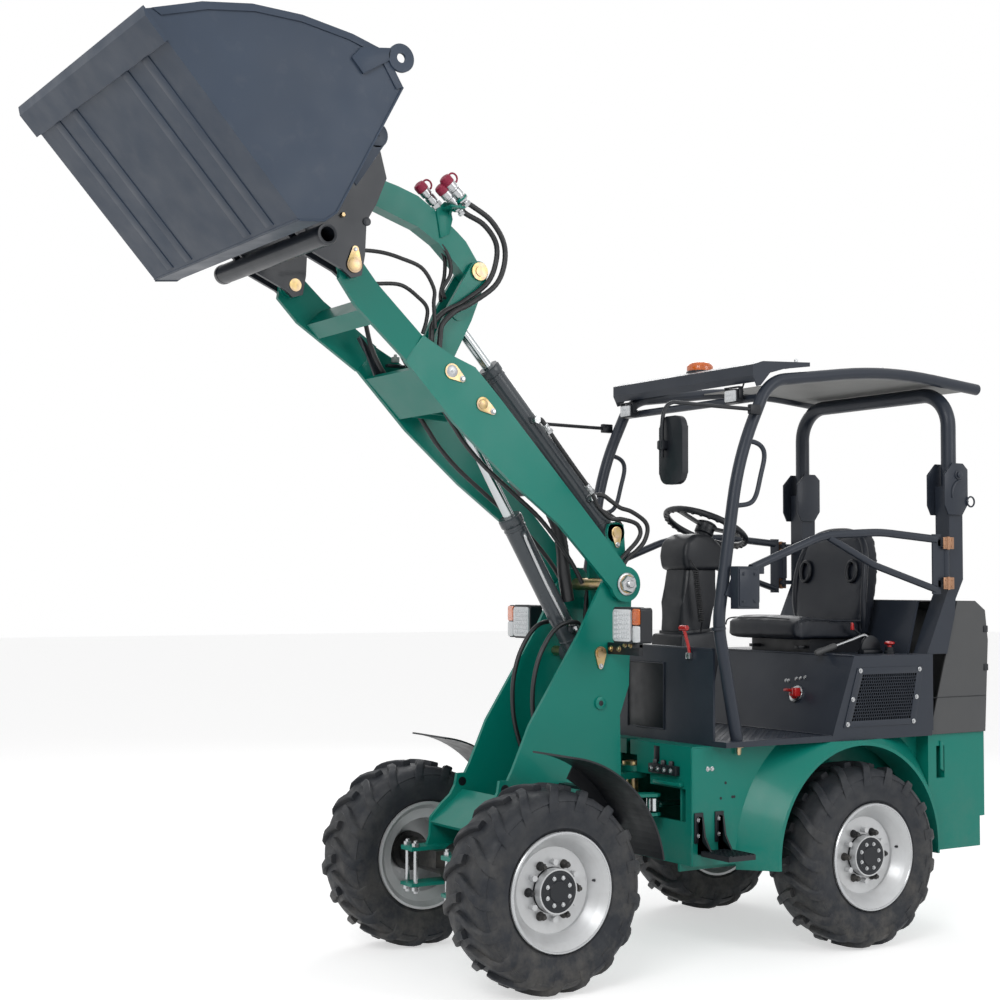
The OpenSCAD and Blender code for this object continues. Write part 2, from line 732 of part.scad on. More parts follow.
module quick_hitch() {
    color(slate) centred() curled() difference() {
        union() {
            both() {
                slab(272, 288) polygon([[30, -40], [48, 0], [0, 61], [-88, 147], [-114, 226],
                    [-160, 322], [-250, 367], [-395, 350], [-224, -110], [-130, -100], [-20, -50]]);
                slab(204, 220) polygon([[30, -40], [48, 0], [0, 61], [-88, 147], [-250, 147],
                    [-224, -110], [-130, -100], [-20, -50]]);
                slab(40, 56) polygon([[-190, 330], [-240, 367], [-395, 350], [-300, 120], [-200, 250]]);
                pin_x(56, 66, HITCH_LOCAL, 30);
            }
            pin_x(-461, 461, [-173, -103], 38);
            slab(-280, 280) polygon([[-235, 145], [-315, 145], [-311, 132], [-235, 132]]);
        }
        pin_x(-300, 300, [0, 0], BOOM_R + 0.05);
        pin_x(-470, 470, [-173, -103], 27);
    }
}

// The link's front pin, about the arm-tip pin with the hitch level
HITCH_LOCAL = [
    (HITCH_PIN[0] - tip_y) * cos(curl) - (HITCH_PIN[1] - tip_z) * sin(curl),
    (HITCH_PIN[0] - tip_y) * sin(curl) + (HITCH_PIN[1] - tip_z) * cos(curl)];

// [y, z] outline of the bucket's side, about the arm-tip pin with the floor level
BUCKET_SIDE = [[-300, -264], [-246, -190], [-240, -133], [-420, 365], [-553, 389],
    [-664, 320], [-813, 200], [-936, 68], [-1034, -80], [-1108, -240], [-1120, -264]];
BUCKET_INNER = [[-304, -256], [-254, -186], [-248, -133], [-428, 357], [-470, 420], [-700, 500], [-1300, 100], [-1300, -256]];

module bucket() {
    half = bucket_w / 2;
    color(slate) centred() curled() {
        difference() {
            slab(-half + 14, half - 14) polygon(BUCKET_SIDE);
            slab(-half + 22, half - 22) polygon(BUCKET_INNER);
        }
        slab(-half, half) polygon([[-1128, -264], [-1000, -264], [-1000, -280], [-1100, -280]]);
    }
}

// --- cylinders ---------------------------------------------------------------

// A barrel or rod drawn along the line between two [y, z] pins, at x = 0
module along(a, b) {
    d = b - a;
    translate([0, a[0], a[1]]) rotate([atan2(d[1], d[0]) - 90, 0, 0]) children();
}

// A barrel with a bored eye at a; rod_r is its rod's radius
module barrel(a, b, length, r, half_w, rod_r) {
    along(a, b) difference() {
        union() {
            cylinder(r = r, h = length);
            rotate([0, 90, 0]) cylinder(r = r, h = 2 * half_w, center = true);
        }
        rotate([0, 90, 0]) cylinder(r = PIN_R + 0.05, h = 400, center = true);
        translate([0, 0, 70]) cylinder(r = r - 8, h = length - 120);
        translate([0, 0, length - 60]) cylinder(r = rod_r + 0.05, h = 80);
    }
}

// A rod with a solid eye at b, reaching back into the barrel
module rod(a, b, length, r, eye_r, half_w) {
    along(b, a) {
        cylinder(r = r, h = length);
        rotate([0, 90, 0]) cylinder(r = eye_r, h = 2 * half_w, center = true);
    }
}

module lift_barrel() color(iron) centred() barrel(LIFT_BASE_PIN, LIFT_ROD_PIN, 640, 45, 60, 22);
module lift_rod() color(silver) centred() rod(LIFT_BASE_PIN, LIFT_ROD_PIN, 560, 22, 40, 34);
module tilt_barrel() color(iron) centred() barrel(TILT_BASE_PIN, TILT_ROD_PIN, 880, 42, 43, 22);
module tilt_rod() color(silver) centred() rod(TILT_BASE_PIN, TILT_ROD_PIN, 480, 22, 36, 32);

STEER_BASE = [290, 1300];
STEER_EYE = [240, 700];
STEER_Z = 610;
STEER_BARREL = 400;

// Place a cylinder's line in the level plane, from its base towards its eye
module steer_line(at, way) {
    d = STEER_EYE - STEER_BASE;
    translate([at[0], at[1], STEER_Z]) rotate([0, 0, atan2(d[1], d[0])])
        rotate([0, way * 90, 0]) children();
}

module steer_barrel() {
    color(iron) centred() steer_line(STEER_BASE, 1) difference() {
        union() {
            cylinder(r = 30, h = STEER_BARREL);
            rotate([0, 90, 0]) cylinder(r = 30, h = 60, center = true);
        }
        rotate([0, 90, 0]) cylinder(r = 15.05, h = 80, center = true);
        translate([0, 0, 40]) cylinder(r = 24, h = STEER_BARREL - 60);
        translate([0, 0, STEER_BARREL - 30]) cylinder(r = 14.05, h = 60);
    }
}

module steer_rod() {
    color(silver) centred() steer_line(STEER_EYE, -1) {
        cylinder(r = 14, h = 370);
        rotate([0, 90, 0]) cylinder(r = 26, h = 50, center = true);
    }
}

// Pin and bracket of the steering cylinder's foot
module steer_bracket() {
    color(zinc) centred() {
        translate([STEER_BASE[0], STEER_BASE[1], STEER_Z - 60]) cylinder(r = 15, h = 120);
        for (z = [STEER_Z - 50, STEER_Z + 34])
            box([STEER_BASE[0] - 30, STEER_BASE[1] - 30, z], [RAIL_X, STEER_BASE[1] + 30, z + 16]);
    }
}

module service_couplings() {
    color(red) centred() translate([60, -190, 2990]) cylinder(r = 20, h = 60);
}

rear_frame();
rear_fenders();
battery_block();
rear_axle();
cab_tub();
seat_box();
back_wall();
vent_grilles();
steps();
front_hoop();
rear_hoop();
hoop_legs();
roof_panel();
visor();
beacon();
work_lamps();
mirrors();
seat_base();
seat_cushion();
seat_back();
steering_console();
control_levers();
rear_hood();
steering_wheel();
door_left();
door_right();
steer_bracket();
steer_barrel();
steer_rod();
front_frame();
front_axle();
front_fenders();
head_lamps();
pivot_knuckle();
tyre(half_track, 0);  // tyre_front_left
tyre(-half_track, 0);  // tyre_front_right
tyre(half_track, wheelbase);  // tyre_rear_left
tyre(-half_track, wheelbase);  // tyre_rear_right
rim(half_track, 0, 1);  // rim_front_left
rim(-half_track, 0, -1);  // rim_front_right
rim(half_track, wheelbase, 1);  // rim_rear_left
rim(-half_track, wheelbase, -1);  // rim_rear_right
boom();
boom_pins();
level_pins();
lever_pin();
link_pin();
tilt_lever();
guide_link();
quick_hitch();
bucket();
tower_pins();
tilt_base_pin();
lift_barrel();
lift_rod();
tilt_barrel();
tilt_rod();
service_couplings();
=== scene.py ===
"""Looks of the electric yard loader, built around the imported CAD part."""

from math import acos, atan2, cos, pi, radians, sin

import bmesh
import bpy
from mathutils import Matrix, Vector
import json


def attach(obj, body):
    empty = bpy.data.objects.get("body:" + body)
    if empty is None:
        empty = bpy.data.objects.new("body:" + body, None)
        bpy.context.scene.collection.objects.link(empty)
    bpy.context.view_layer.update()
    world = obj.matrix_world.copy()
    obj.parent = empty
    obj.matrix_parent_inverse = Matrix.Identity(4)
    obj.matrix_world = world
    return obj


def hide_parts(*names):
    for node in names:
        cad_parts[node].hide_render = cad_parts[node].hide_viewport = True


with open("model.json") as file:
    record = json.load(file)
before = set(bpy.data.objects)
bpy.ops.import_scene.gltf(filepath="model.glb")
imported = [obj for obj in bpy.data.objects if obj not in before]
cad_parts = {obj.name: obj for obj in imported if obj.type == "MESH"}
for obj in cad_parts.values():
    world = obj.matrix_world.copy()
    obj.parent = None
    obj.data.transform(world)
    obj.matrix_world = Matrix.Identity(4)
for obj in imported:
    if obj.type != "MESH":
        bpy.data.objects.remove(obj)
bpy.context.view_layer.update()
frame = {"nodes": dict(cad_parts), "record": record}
NODES = frame["nodes"]

# The machine faces -Y with its left side at +X. Forms are drawn in millimetres,
# with y from the front axle, which lies this far ahead of the frame's origin.
FRONT_AXLE_Y = -0.365
LEFT, AHEAD, UP = (1, 0, 0), (0, -1, 0), (0, 0, 1)


def at(x, y, z):
    """The place in metres of a point given in millimetres."""
    return Vector((x / 1000, y / 1000 + FRONT_AXLE_Y, z / 1000))


def add(name, data):
    """Puts a new object into the scene."""
    obj = bpy.data.objects.new(name, data)
    bpy.context.collection.objects.link(obj)
    return obj


# --- camera ---

LENS, SENSOR = 60.154, 36.0
EYE = (5.6535, -3.829, 1.4918)
AZIMUTH, PITCH, ROLL = (radians(a) for a in (57.657, 2.908, 0.238))

camera = bpy.data.cameras.new("camera")
camera.lens = LENS
camera.sensor_width = SENSOR
eye = add("camera", camera)
eye.matrix_world = (
    Matrix.Translation(EYE)
    @ Matrix.Rotation(AZIMUTH, 4, "Z")
    @ Matrix.Rotation(pi / 2 + PITCH, 4, "X")
    @ Matrix.Rotation(ROLL, 4, "Z")
)
bpy.context.scene.camera = eye
bpy.context.scene.view_settings.view_transform = "Standard"

# --- materials ---

# Sockets of a Mix node that mixes colours
MIX_FACTOR, MIX_A, MIX_B, MIX_RESULT = 0, 6, 7, 2
COAT_ROUGHNESS = 0.12
DUST = (0.24, 0.22, 0.19)


def map_range(tree, value, low, high, start=0.0, end=1.0):
    """Carries a value that runs from start to end over to low to high."""
    m = tree.nodes.new("ShaderNodeMapRange")
    limits = {"From Min": start, "From Max": end, "To Min": low, "To Max": high}
    for socket, number in limits.items():
        m.inputs[socket].default_value = number
    tree.links.new(value, m.inputs["Value"])
    return m.outputs["Result"]


class Shader:
    """A node material with one Principled shader and a few helpers."""

    def __init__(self, name, colour, rough, metal=0.0, coat=0.0, spec=0.5):
        self.name = name
        self.mat = bpy.data.materials.new(name)
        self.mat.use_nodes = True
        self.tree = self.mat.node_tree
        self.bsdf = self.tree.nodes["Principled BSDF"]
        self.set("Base Color", (*colour, 1))
        self.set("Roughness", rough)
        self.set("Metallic", metal)
        self.set("Coat Weight", coat)
        self.set("Coat Roughness", COAT_ROUGHNESS)
        self.set("Specular IOR Level", spec)
        self.mat.diffuse_color = (*colour, 1)

    def set(self, socket, value):
        self.bsdf.inputs[socket].default_value = value
        return self

    def node(self, kind, **values):
        """A new node, each value set on its socket or its property."""
        n = self.tree.nodes.new(kind)
        for key, value in values.items():
            if key in n.inputs:
                n.inputs[key].default_value = value
            else:
                setattr(n, key, value)
        return n

    def link(self, a, b):
        self.tree.links.new(a, b)

    def place(self, socket):
        """Feeds a socket with the point's place on its object."""
        self.link(self.node("ShaderNodeTexCoord").outputs["Object"], socket)

    def noise(self, scale, detail=4.0, rough=0.55):
        n = self.node("ShaderNodeTexNoise", Scale=scale, Detail=detail, Roughness=rough)
        self.place(n.inputs["Vector"])
        return n.outputs["Fac"]

    def ramp(self, fac, low, high, top=1.0):
        """Rises from black at low to a grey of top at high."""
        r = self.node("ShaderNodeValToRGB")
        for stop, where, grey in zip(r.color_ramp.elements, (low, high), (0.0, top)):
            stop.position = where
            stop.color = (grey, grey, grey, 1)
        self.link(fac, r.inputs["Fac"])
        return r.outputs["Color"]

    def bump(self, height, strength, distance):
        b = self.node("ShaderNodeBump", Strength=strength, Distance=distance)
        self.link(height, b.inputs["Height"])
        last = self.bsdf.inputs["Normal"]
        if last.is_linked:
            self.link(last.links[0].from_socket, b.inputs["Normal"])
        self.link(b.outputs["Normal"], last)
        return self

    def over(self, colour, amount):
        """Lays a colour over the base by the amount that a socket gives."""
        mix = self.node("ShaderNodeMix", data_type="RGBA")
        base = self.bsdf.inputs["Base Color"]
        if base.is_linked:
            self.link(base.links[0].from_socket, mix.inputs[MIX_A])
        else:
            mix.inputs[MIX_A].default_value = base.default_value
        mix.inputs[MIX_B].default_value = (*colour, 1)
        self.link(amount, mix.inputs[MIX_FACTOR])
        self.link(mix.outputs[MIX_RESULT], base)
        return self

    def mottle(self, colour, scale, low=0.35, high=0.75, amount=0.5):
        """Blends the base colour towards another in soft patches."""
        return self.over(colour, self.ramp(self.noise(scale), low, high, amount))

    def vary_rough(self, scale, low, high):
        rough = map_range(self.tree, self.noise(scale), low, high, 0.3, 0.7)
        self.link(rough, self.bsdf.inputs["Roughness"])
        return self

    def dust(self, top, amount):
        """Pale dust that fades out with height above the ground."""
        part = self.node("ShaderNodeSeparateXYZ")
        self.place(part.inputs["Vector"])
        times = self.node("ShaderNodeMath", operation="MULTIPLY")
        self.link(map_range(self.tree, part.outputs["Z"], amount, 0.0, end=top), times.inputs[0])
        self.link(self.ramp(self.noise(9.0, 6.0, 0.7), 0.42, 0.68), times.inputs[1])
        return self.over(DUST, times.outputs[0])


def paint(name, colour, rough, coat, patch=None, spec=0.3):
    """Sprayed paint: faint patches, orange peel and slow waves in the sheet."""
    s = Shader(name, colour, rough, coat=coat, spec=spec)
    if patch:
        s.mottle(patch, 2.2)
    s.vary_rough(6.0, rough * 0.8, rough * 1.25)
    return s.bump(s.noise(420.0, 2.0), 0.05, 0.0006).bump(s.noise(5.0, 2.0), 0.03, 0.004)


green = paint("green_paint", (0.0009, 0.2115, 0.162), 0.36, 0.12, (0.001, 0.2, 0.155), 0.28)
green.dust(0.8, 0.2)
slate = paint("slate_paint", (0.0383, 0.0541, 0.0825), 0.45, 0.05, (0.05, 0.072, 0.11))
slate.mottle((0.12, 0.13, 0.15), 14, 0.58, 0.8, 0.2)
hitch_dark = paint("hitch_paint", (0.022, 0.027, 0.036), 0.38, 0.2)
iron = paint("iron_paint", (0.024, 0.031, 0.045), 0.4, 0.1, (0.019, 0.025, 0.038))
axle = paint("axle_paint", (0.018, 0.019, 0.021), 0.45, 0.1).dust(0.8, 0.5)
cylinder = paint("cylinder_paint", (0.055, 0.066, 0.076), 0.25, 0.3)
zinc = Shader("zinc_plate", (0.5, 0.37, 0.17), 0.42, metal=1)
zinc.mottle((0.6, 0.45, 0.38), 30, 0.4, 0.7, 0.7).vary_rough(60, 0.26, 0.46)
steel = Shader("bright_steel", (0.46, 0.47, 0.48), 0.32, metal=1).vary_rough(50, 0.2, 0.4)
chrome = Shader("chrome_rod", (0.5, 0.53, 0.54), 0.14, metal=1).vary_rough(8, 0.08, 0.2)
silver = Shader("wheel_silver", (0.62, 0.63, 0.64), 0.36, metal=0.3, coat=0.2)
silver.mottle((0.52, 0.53, 0.54), 6).bump(silver.noise(180, 2), 0.06, 0.0006).dust(1, 0.2)
hood = Shader("hood_plastic", (0.088, 0.09, 0.092), 0.5, spec=0.3)
hood.mottle((0.085, 0.088, 0.094), 3).vary_rough(9, 0.44, 0.58)
hood.bump(hood.noise(900, 2), 0.12, 0.0004)
black = Shader("black_plastic", (0.007, 0.009, 0.013), 0.42, spec=0.4)
black.vary_rough(20, 0.34, 0.5).bump(black.noise(700, 2), 0.12, 0.0004)
vinyl = Shader("seat_cover", (0.007, 0.01, 0.017), 0.4, spec=0.4)
vinyl.vary_rough(12, 0.34, 0.5).bump(vinyl.noise(380, 3), 0.2, 0.0006)
rubber = Shader("tyre_rubber", (0.018, 0.021, 0.027), 0.6, spec=0.35)
rubber.mottle((0.045, 0.048, 0.052), 12, 0.4, 0.75, 0.5).vary_rough(30, 0.48, 0.72)
rubber.bump(rubber.noise(260, 4), 0.2, 0.0008).dust(0.8, 0.35)
hose = Shader("hose_rubber", (0.012, 0.013, 0.015), 0.42)
hose.vary_rough(40, 0.34, 0.52).bump(hose.noise(600, 2), 0.25, 0.0006)
amber = Shader("amber_lens", (0.95, 0.2, 0.015), 0.15, coat=0.5)
amber.set("Transmission Weight", 0.25).mottle((0.7, 0.12, 0.01), 40)
clear = Shader("lamp_lens", (0.78, 0.8, 0.82), 0.08, coat=0.6).mottle((0.6, 0.62, 0.65), 60)
red = Shader("red_plastic", (0.55, 0.012, 0.012), 0.3, coat=0.3).vary_rough(30, 0.24, 0.4)
plum = Shader("cap_rubber", (0.3, 0.012, 0.05), 0.45).vary_rough(30, 0.35, 0.55)
glass = Shader("mirror_glass", (0.85, 0.87, 0.88), 0.03, metal=1).vary_rough(5, 0.02, 0.05)
white = Shader("white_plastic", (0.75, 0.75, 0.74), 0.4).vary_rough(30, 0.34, 0.5)
pale = Shader("roof_lining", (0.3, 0.3, 0.29), 0.6).mottle((0.24, 0.24, 0.235), 4)
copper = paint("hinge_copper", (0.36, 0.2, 0.12), 0.42, 0.1).set("Metallic", 0.8)

# The look of each material slot of the record, and the slot of each look here
SLOTS = {look.name: look for look in (green, slate, iron, hood, black, vinyl, rubber, silver,
                                      zinc, chrome, cylinder, clear, axle)}
SLOTS.update(mirror_shell=black, beacon_lens=amber, red_plastic=plum)
SLOT_OF = {shader: name for name, shader in SLOTS.items()}
SLOT_OF.update({
    black: "black_plastic", hitch_dark: "slate_paint", steel: "zinc_plate", hose: "tyre_rubber",
    red: "red_plastic", glass: "chrome_rod", white: "lamp_lens", pale: "iron_paint",
    copper: "zinc_plate",
})
# CAD nodes that look otherwise than their slot
NODE_LOOKS = {"quick_hitch": hitch_dark, "roof_panel": pale, "front_fenders": black,
              "steps": black}

for part in frame["record"]["subparts"]:
    slots = NODES[part["node"]].data.materials
    slots.clear()
    slots.append(NODE_LOOKS.get(part["node"], SLOTS[part["material_slot"]]).mat)

# --- mesh helpers ---


def circle(centre, u, w, r, n):
    """A ring of n points in the plane of u and w."""
    turn = 2 * pi / n
    return [centre + (u * cos(k * turn) + w * sin(k * turn)) * r for k in range(n)]


def smooth_path(points, steps=4):
    """A Catmull-Rom curve through a route's points."""
    p = [Vector(q) for q in points]
    out = []
    for i in range(len(p) - 1):
        a, b, c, d = p[max(i - 1, 0)], p[i], p[i + 1], p[min(i + 2, len(p) - 1)]
        for k in range(steps):
            t = k / steps
            out.append(0.5 * (2 * b + (c - a) * t + (2 * a - 5 * b + 4 * c - d) * t**2
                              + (3 * b - a - 3 * c + d) * t**3))
    return out + [p[-1]]


# The sides of a hexagon, and the radius that stands for a point
HEX, TINY = 6, 0.02


class Pile:
    """A joined mesh that gathers many small forms of one material and body."""

    def __init__(self):
        self.bm = bmesh.new()

    def loft(self, rings, loop=False):
        """Joins rings of points, and closes the ends or runs back to the first."""
        rows = [[self.bm.verts.new(p) for p in ring] for ring in rings]
        n = len(rows[0])
        pairs = list(zip(rows, rows[1:])) + ([(rows[-1], rows[0])] if loop else [])
        for a, b in pairs:
            for k in range(n):
                m = (k + 1) % n
                self.bm.faces.new((a[k], a[m], b[m], b[k]))
        if not loop:
            self.bm.faces.new(rows[0][::-1])
            self.bm.faces.new(rows[-1])
        return rows

    def lathe(self, origin, axis, profile, n=24, ring=False):
        """Revolves (radius, height) pairs about an axis, as a ring if they go round."""
        axis = Vector(axis).normalized()
        u = axis.orthogonal().normalized()
        w = axis.cross(u)
        self.loft([circle(Vector(origin) + axis * h, u, w, max(r, TINY), n)
                   for r, h in profile], loop=ring)

    def tube(self, path, r, n=10, loop=False, radii=None):
        """A round bar along a path, of one radius or of one for each point."""
        p = [Vector(q) for q in path]
        last = len(p) - 1
        u = None
        rings = []
        for i, q in enumerate(p):
            if loop:
                t = p[(i + 1) % len(p)] - p[i - 1]
            else:
                t = p[min(i + 1, last)] - p[max(i - 1, 0)]
            t.normalize()
            u = t.orthogonal().normalized() if u is None else (u - t * u.dot(t)).normalized()
            rings.append(circle(q, u, t.cross(u), radii[i] if radii else r, n))
        self.loft(rings, loop=loop)

    def bent(self, points, r, n, steps=4):
        """A round bar along a smooth curve."""
        self.tube(smooth_path(points, steps), r, n)

    def prism(self, plane, lo, hi, outline, bevel=0.0, segments=2):
        """Extrudes an outline along an axis between two values, its edges rounded."""
        i = "xyz".index(plane)
        rows = self.loft([[(*p[:i], h, *p[i:]) for p in outline] for h in (lo, hi)])
        if bevel:
            verts = {v for row in rows for v in row}
            edges = [e for e in self.bm.edges if e.verts[0] in verts and e.verts[1] in verts]
            bmesh.ops.bevel(self.bm, geom=edges, offset=bevel, segments=segments, profile=0.5,
                            affect="EDGES", clamp_overlap=True)

    def box(self, lo, hi, bevel=1.5):
        self.prism("x", lo[0], hi[0],
                   [(lo[1], lo[2]), (hi[1], lo[2]), (hi[1], hi[2]), (lo[1], hi[2])], bevel)

    def bolt(self, p, axis, r, h):
        """A hexagon head with a domed top, on its washer."""
        base = r * 0.22
        self.lathe(p, axis, [(r * 1.35, -1), (r * 1.35, base * 0.8), (r * 1.25, base)], 20)
        self.lathe(p, axis, [(r, base - 1), (r, base + h * 0.8), (r * 0.82, base + h)], HEX)

    def both(self):
        """Adds the mirror copy on the other side of the middle."""
        geom = self.bm.verts[:] + self.bm.edges[:] + self.bm.faces[:]
        for v in bmesh.ops.duplicate(self.bm, geom=geom)["geom"]:
            if isinstance(v, bmesh.types.BMVert):
                v.co.x = -v.co.x
        return self

    def move(self, matrix):
        bmesh.ops.transform(self.bm, matrix=matrix, verts=self.bm.verts)
        return self

    def make(self, name, shader, body, replaces=(), limit=38):
        """Makes the piece, riding on a body; edges sharper than the limit stay sharp."""
        bm = self.bm
        for v in bm.verts:
            v.co = at(*v.co)
        bmesh.ops.recalc_face_normals(bm, faces=bm.faces)
        for f in bm.faces:
            f.smooth = True
        for e in bm.edges:
            if len(e.link_faces) != 2 or e.calc_face_angle(0) > radians(limit):
                e.smooth = False
        mesh = bpy.data.meshes.new(name)
        bm.to_mesh(mesh)
        bm.free()
        mesh.materials.append(shader.mat)
        obj = add(name, mesh)
        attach(obj, body)
        if replaces:
            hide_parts(*replaces)
        return obj


def arc(x, y, rx, ry, start, end, steps):
    """Points along an arc of an ellipse, both ends included; angles in radians."""
    angles = [start + (end - start) * k / steps for k in range(steps + 1)]
    return [(x + rx * cos(a), y + ry * sin(a)) for a in angles]


def spots(n, r, shift=0.0):
    """Points spaced evenly round a circle."""
    return arc(0, 0, r, r, 2 * pi * shift / n, 2 * pi * (1 + shift / n), n)[:-1]


def round_rect(x0, z0, x1, z1, r):
    """A rectangle's outline with round corners."""
    x0, z0, x1, z1 = x0 + r, z0 + r, x1 - r, z1 - r
    out = []
    for q, (x, z) in enumerate([(x1, z1), (x0, z1), (x0, z0), (x1, z0)]):
        out += arc(x, z, r, r, q * pi / 2, (q + 1) * pi / 2, 6)
    return out


def strap(a, b, ra, rb):
    """The outline around two circles."""
    a, b = Vector(a), Vector(b)
    line = atan2(b.y - a.y, b.x - a.x)
    lean = acos((ra - rb) / (b - a).length)
    return (arc(*a, ra, ra, line + lean, line + 2 * pi - lean, 16)
            + arc(*b, rb, rb, line - lean, line + lean, 16))


# --- wheels ---

TYRE_R = 380
WHEEL_X, WHEELBASE = 492, 1556
WHEELS = {
    "front_left": ("wheel_fl", WHEEL_X, 0),
    "front_right": ("wheel_fr", -WHEEL_X, 0),
    "rear_left": ("wheel_rl", WHEEL_X, WHEELBASE),
    "rear_right": ("wheel_rr", -WHEEL_X, WHEELBASE),
}
# Half of a tyre's section from the bead to the crown: (x, radius)
CARCASS = [(106, 206), (112, 222), (122, 232), (122, 240), (128, 262), (131, 285), (130, 310),
           (126, 326), (129, 330), (126, 336), (116, 348), (96, 356), (60, 359), (0, 360)]
# Lug stations from the crown out: (x, inner radius, outer radius, lag in degrees)
LUGS = [(-8, 345, 380, 0), (25, 345, 380, 1.2), (60, 344, 379, 4.2), (92, 340, 375, 7.6),
        (113, 330, 366, 10.2), (127, 312, 349, 12.2), (132, 296, 330, 13.0)]
LUG_COUNT = 17
# Half a lug's width at the crown, how much it widens outwards, and its chamfers
LUG_HALF, LUG_SPREAD, LUG_FOOT, LUG_EDGE = 17, 2.5, 3, 4
BOLT_COUNT, BOLT_CIRCLE = 8, 52
NUT_COUNT, NUT_CIRCLE = 6, 104


def lug(pile, start, side):
    """One bar of the tread, which starts at an angle and runs out to a side."""
    rings = []
    for i, (x, inner, outer, lag) in enumerate(LUGS):
        half = LUG_HALF + LUG_SPREAD * i / (len(LUGS) - 1)
        ring = []
        for r, w in ((inner, -half - LUG_FOOT), (inner, half + LUG_FOOT),
                     (outer - LUG_EDGE, half), (outer, half - LUG_EDGE),
                     (outer, LUG_EDGE - half), (outer - LUG_EDGE, -half)):
            a = radians(start + lag) + w / r
            ring.append((side * x, r * cos(a), r * sin(a)))
        rings.append(ring)
    pile.loft(rings)


def hub(p):
    """The hub cap and the valve."""
    p.lathe((0, 0, 0), LEFT, [(84, 57), (84, 62), (81, 66), (81, 94), (76, 101), (64, 103),
                              (62, 101), (40, 101), (38, 104), (0, 104)], 48)
    p.tube([(57, 176, 22), (68, 172, 22), (88, 168, 24)], 5)


def hub_bolts(p):
    """The cap's small bolts and the bead of the rim's flange."""
    for y, z in spots(BOLT_COUNT, BOLT_CIRCLE, 0.5):
        p.bolt((101, y, z), LEFT, 6, 5)
    p.lathe((0, 0, 0), LEFT, [(209, 122), (212, 127), (218, 127), (221, 123), (219, 116),
                              (210, 116)], 72, True)


def wheel_nuts(p):
    for c in ((55, y, z) for y, z in spots(NUT_COUNT, NUT_CIRCLE)):
        p.lathe(c, LEFT, [(17, 0), (17, 4), (15, 7)], 20)
        p.lathe(c, LEFT, [(14, 6), (14, 24), (11, 28)], HEX)
        p.lathe(c, LEFT, [(8, 26), (8, 36), (6, 38)], 12)


for name, (body, x, y) in WHEELS.items():
    centre = Matrix.Translation((x, y, TYRE_R))
    tyre = Pile()
    section = CARCASS + [(-a, r) for a, r in CARCASS[-2::-1]]
    tyre.lathe((0, 0, 0), LEFT, [(r, a) for a, r in section], 96, True)
    for i in range(LUG_COUNT):
        lug(tyre, 360 * i / LUG_COUNT, 1)
        lug(tyre, 360 * (i + 0.5) / LUG_COUNT, -1)
    tyre.move(centre).make(f"tyre_{name}_lugged", rubber, body, [f"tyre_{name}"], 30)
    outwards = centre @ Matrix.Scale(1 if x > 0 else -1, 4, LEFT)
    for draw, shader, title in ((hub, black, "hub"), (hub_bolts, steel, "bolts"),
                                (wheel_nuts, axle, "nuts")):
        p = Pile()
        draw(p)
        p.move(outwards).make(f"wheel_{title}_{name}", shader, body)

# --- seat ---

SEAT_Z = 1200
PAD_X = 238
VOXEL, PRESSURE, QUALITY, LAST_FRAME = 0.009, 3.0, 4, 20
# half the points across a pad's row, and how square its crown is
ACROSS, CROWN_POWER = 10, 2.6


def puff(obj, cap):
    """Swells a pad by a short cloth simulation, no point moving past the cap."""
    bpy.context.view_layer.objects.active = obj
    remesh = obj.modifiers.new("remesh", "REMESH")
    remesh.mode = "VOXEL"
    remesh.voxel_size = VOXEL
    bpy.ops.object.modifier_apply(modifier=remesh.name)
    before = [v.co.copy() for v in obj.data.vertices]
    cloth = obj.modifiers.new("cloth", "CLOTH")
    cloth.settings.use_pressure = True
    cloth.settings.uniform_pressure_force = PRESSURE
    cloth.settings.effector_weights.gravity = 0
    cloth.settings.quality = QUALITY
    for number in range(1, LAST_FRAME + 1):
        bpy.context.scene.frame_set(number)
    bpy.ops.object.modifier_apply(modifier=cloth.name)
    for v, old in zip(obj.data.vertices, before):
        step = v.co - old
        if step.length > cap:
            v.co = old + step * (cap / step.length)
    bpy.context.scene.frame_set(1)
    for f in obj.data.polygons:
        f.use_smooth = True


def pad(name, rows, node, piping, cap, bolster=3.2):
    """A padded piece lofted through rows, with piping of a radius along its seams."""
    p = Pile()
    p.loft(rows)
    obj = p.make(name, vinyl, "rear", [node], 60)
    puff(obj, cap)
    trim = Pile()
    for route in piping:
        trim.bent(route, bolster, 12, 5)
    trim.make(f"{name}_piping", vinyl, "rear")


def pad_row(half, y0, z0, y1, z1, crown):
    """A closed row across the seat: a flat underside and a crowned face."""
    row = [Vector((half * (1 - 2 * k / ACROSS), y0, z0)) for k in range(ACROSS + 1)]
    out = Vector((0, y1 - y0, z1 - z0)).normalized()
    for k in range(2 * ACROSS + 1):
        t = -1 + k / ACROSS
        bow = crown * (1 - abs(t) ** CROWN_POWER)
        row.append(Vector((half * t * 0.985, y1, z1)) + out * bow)
    return row


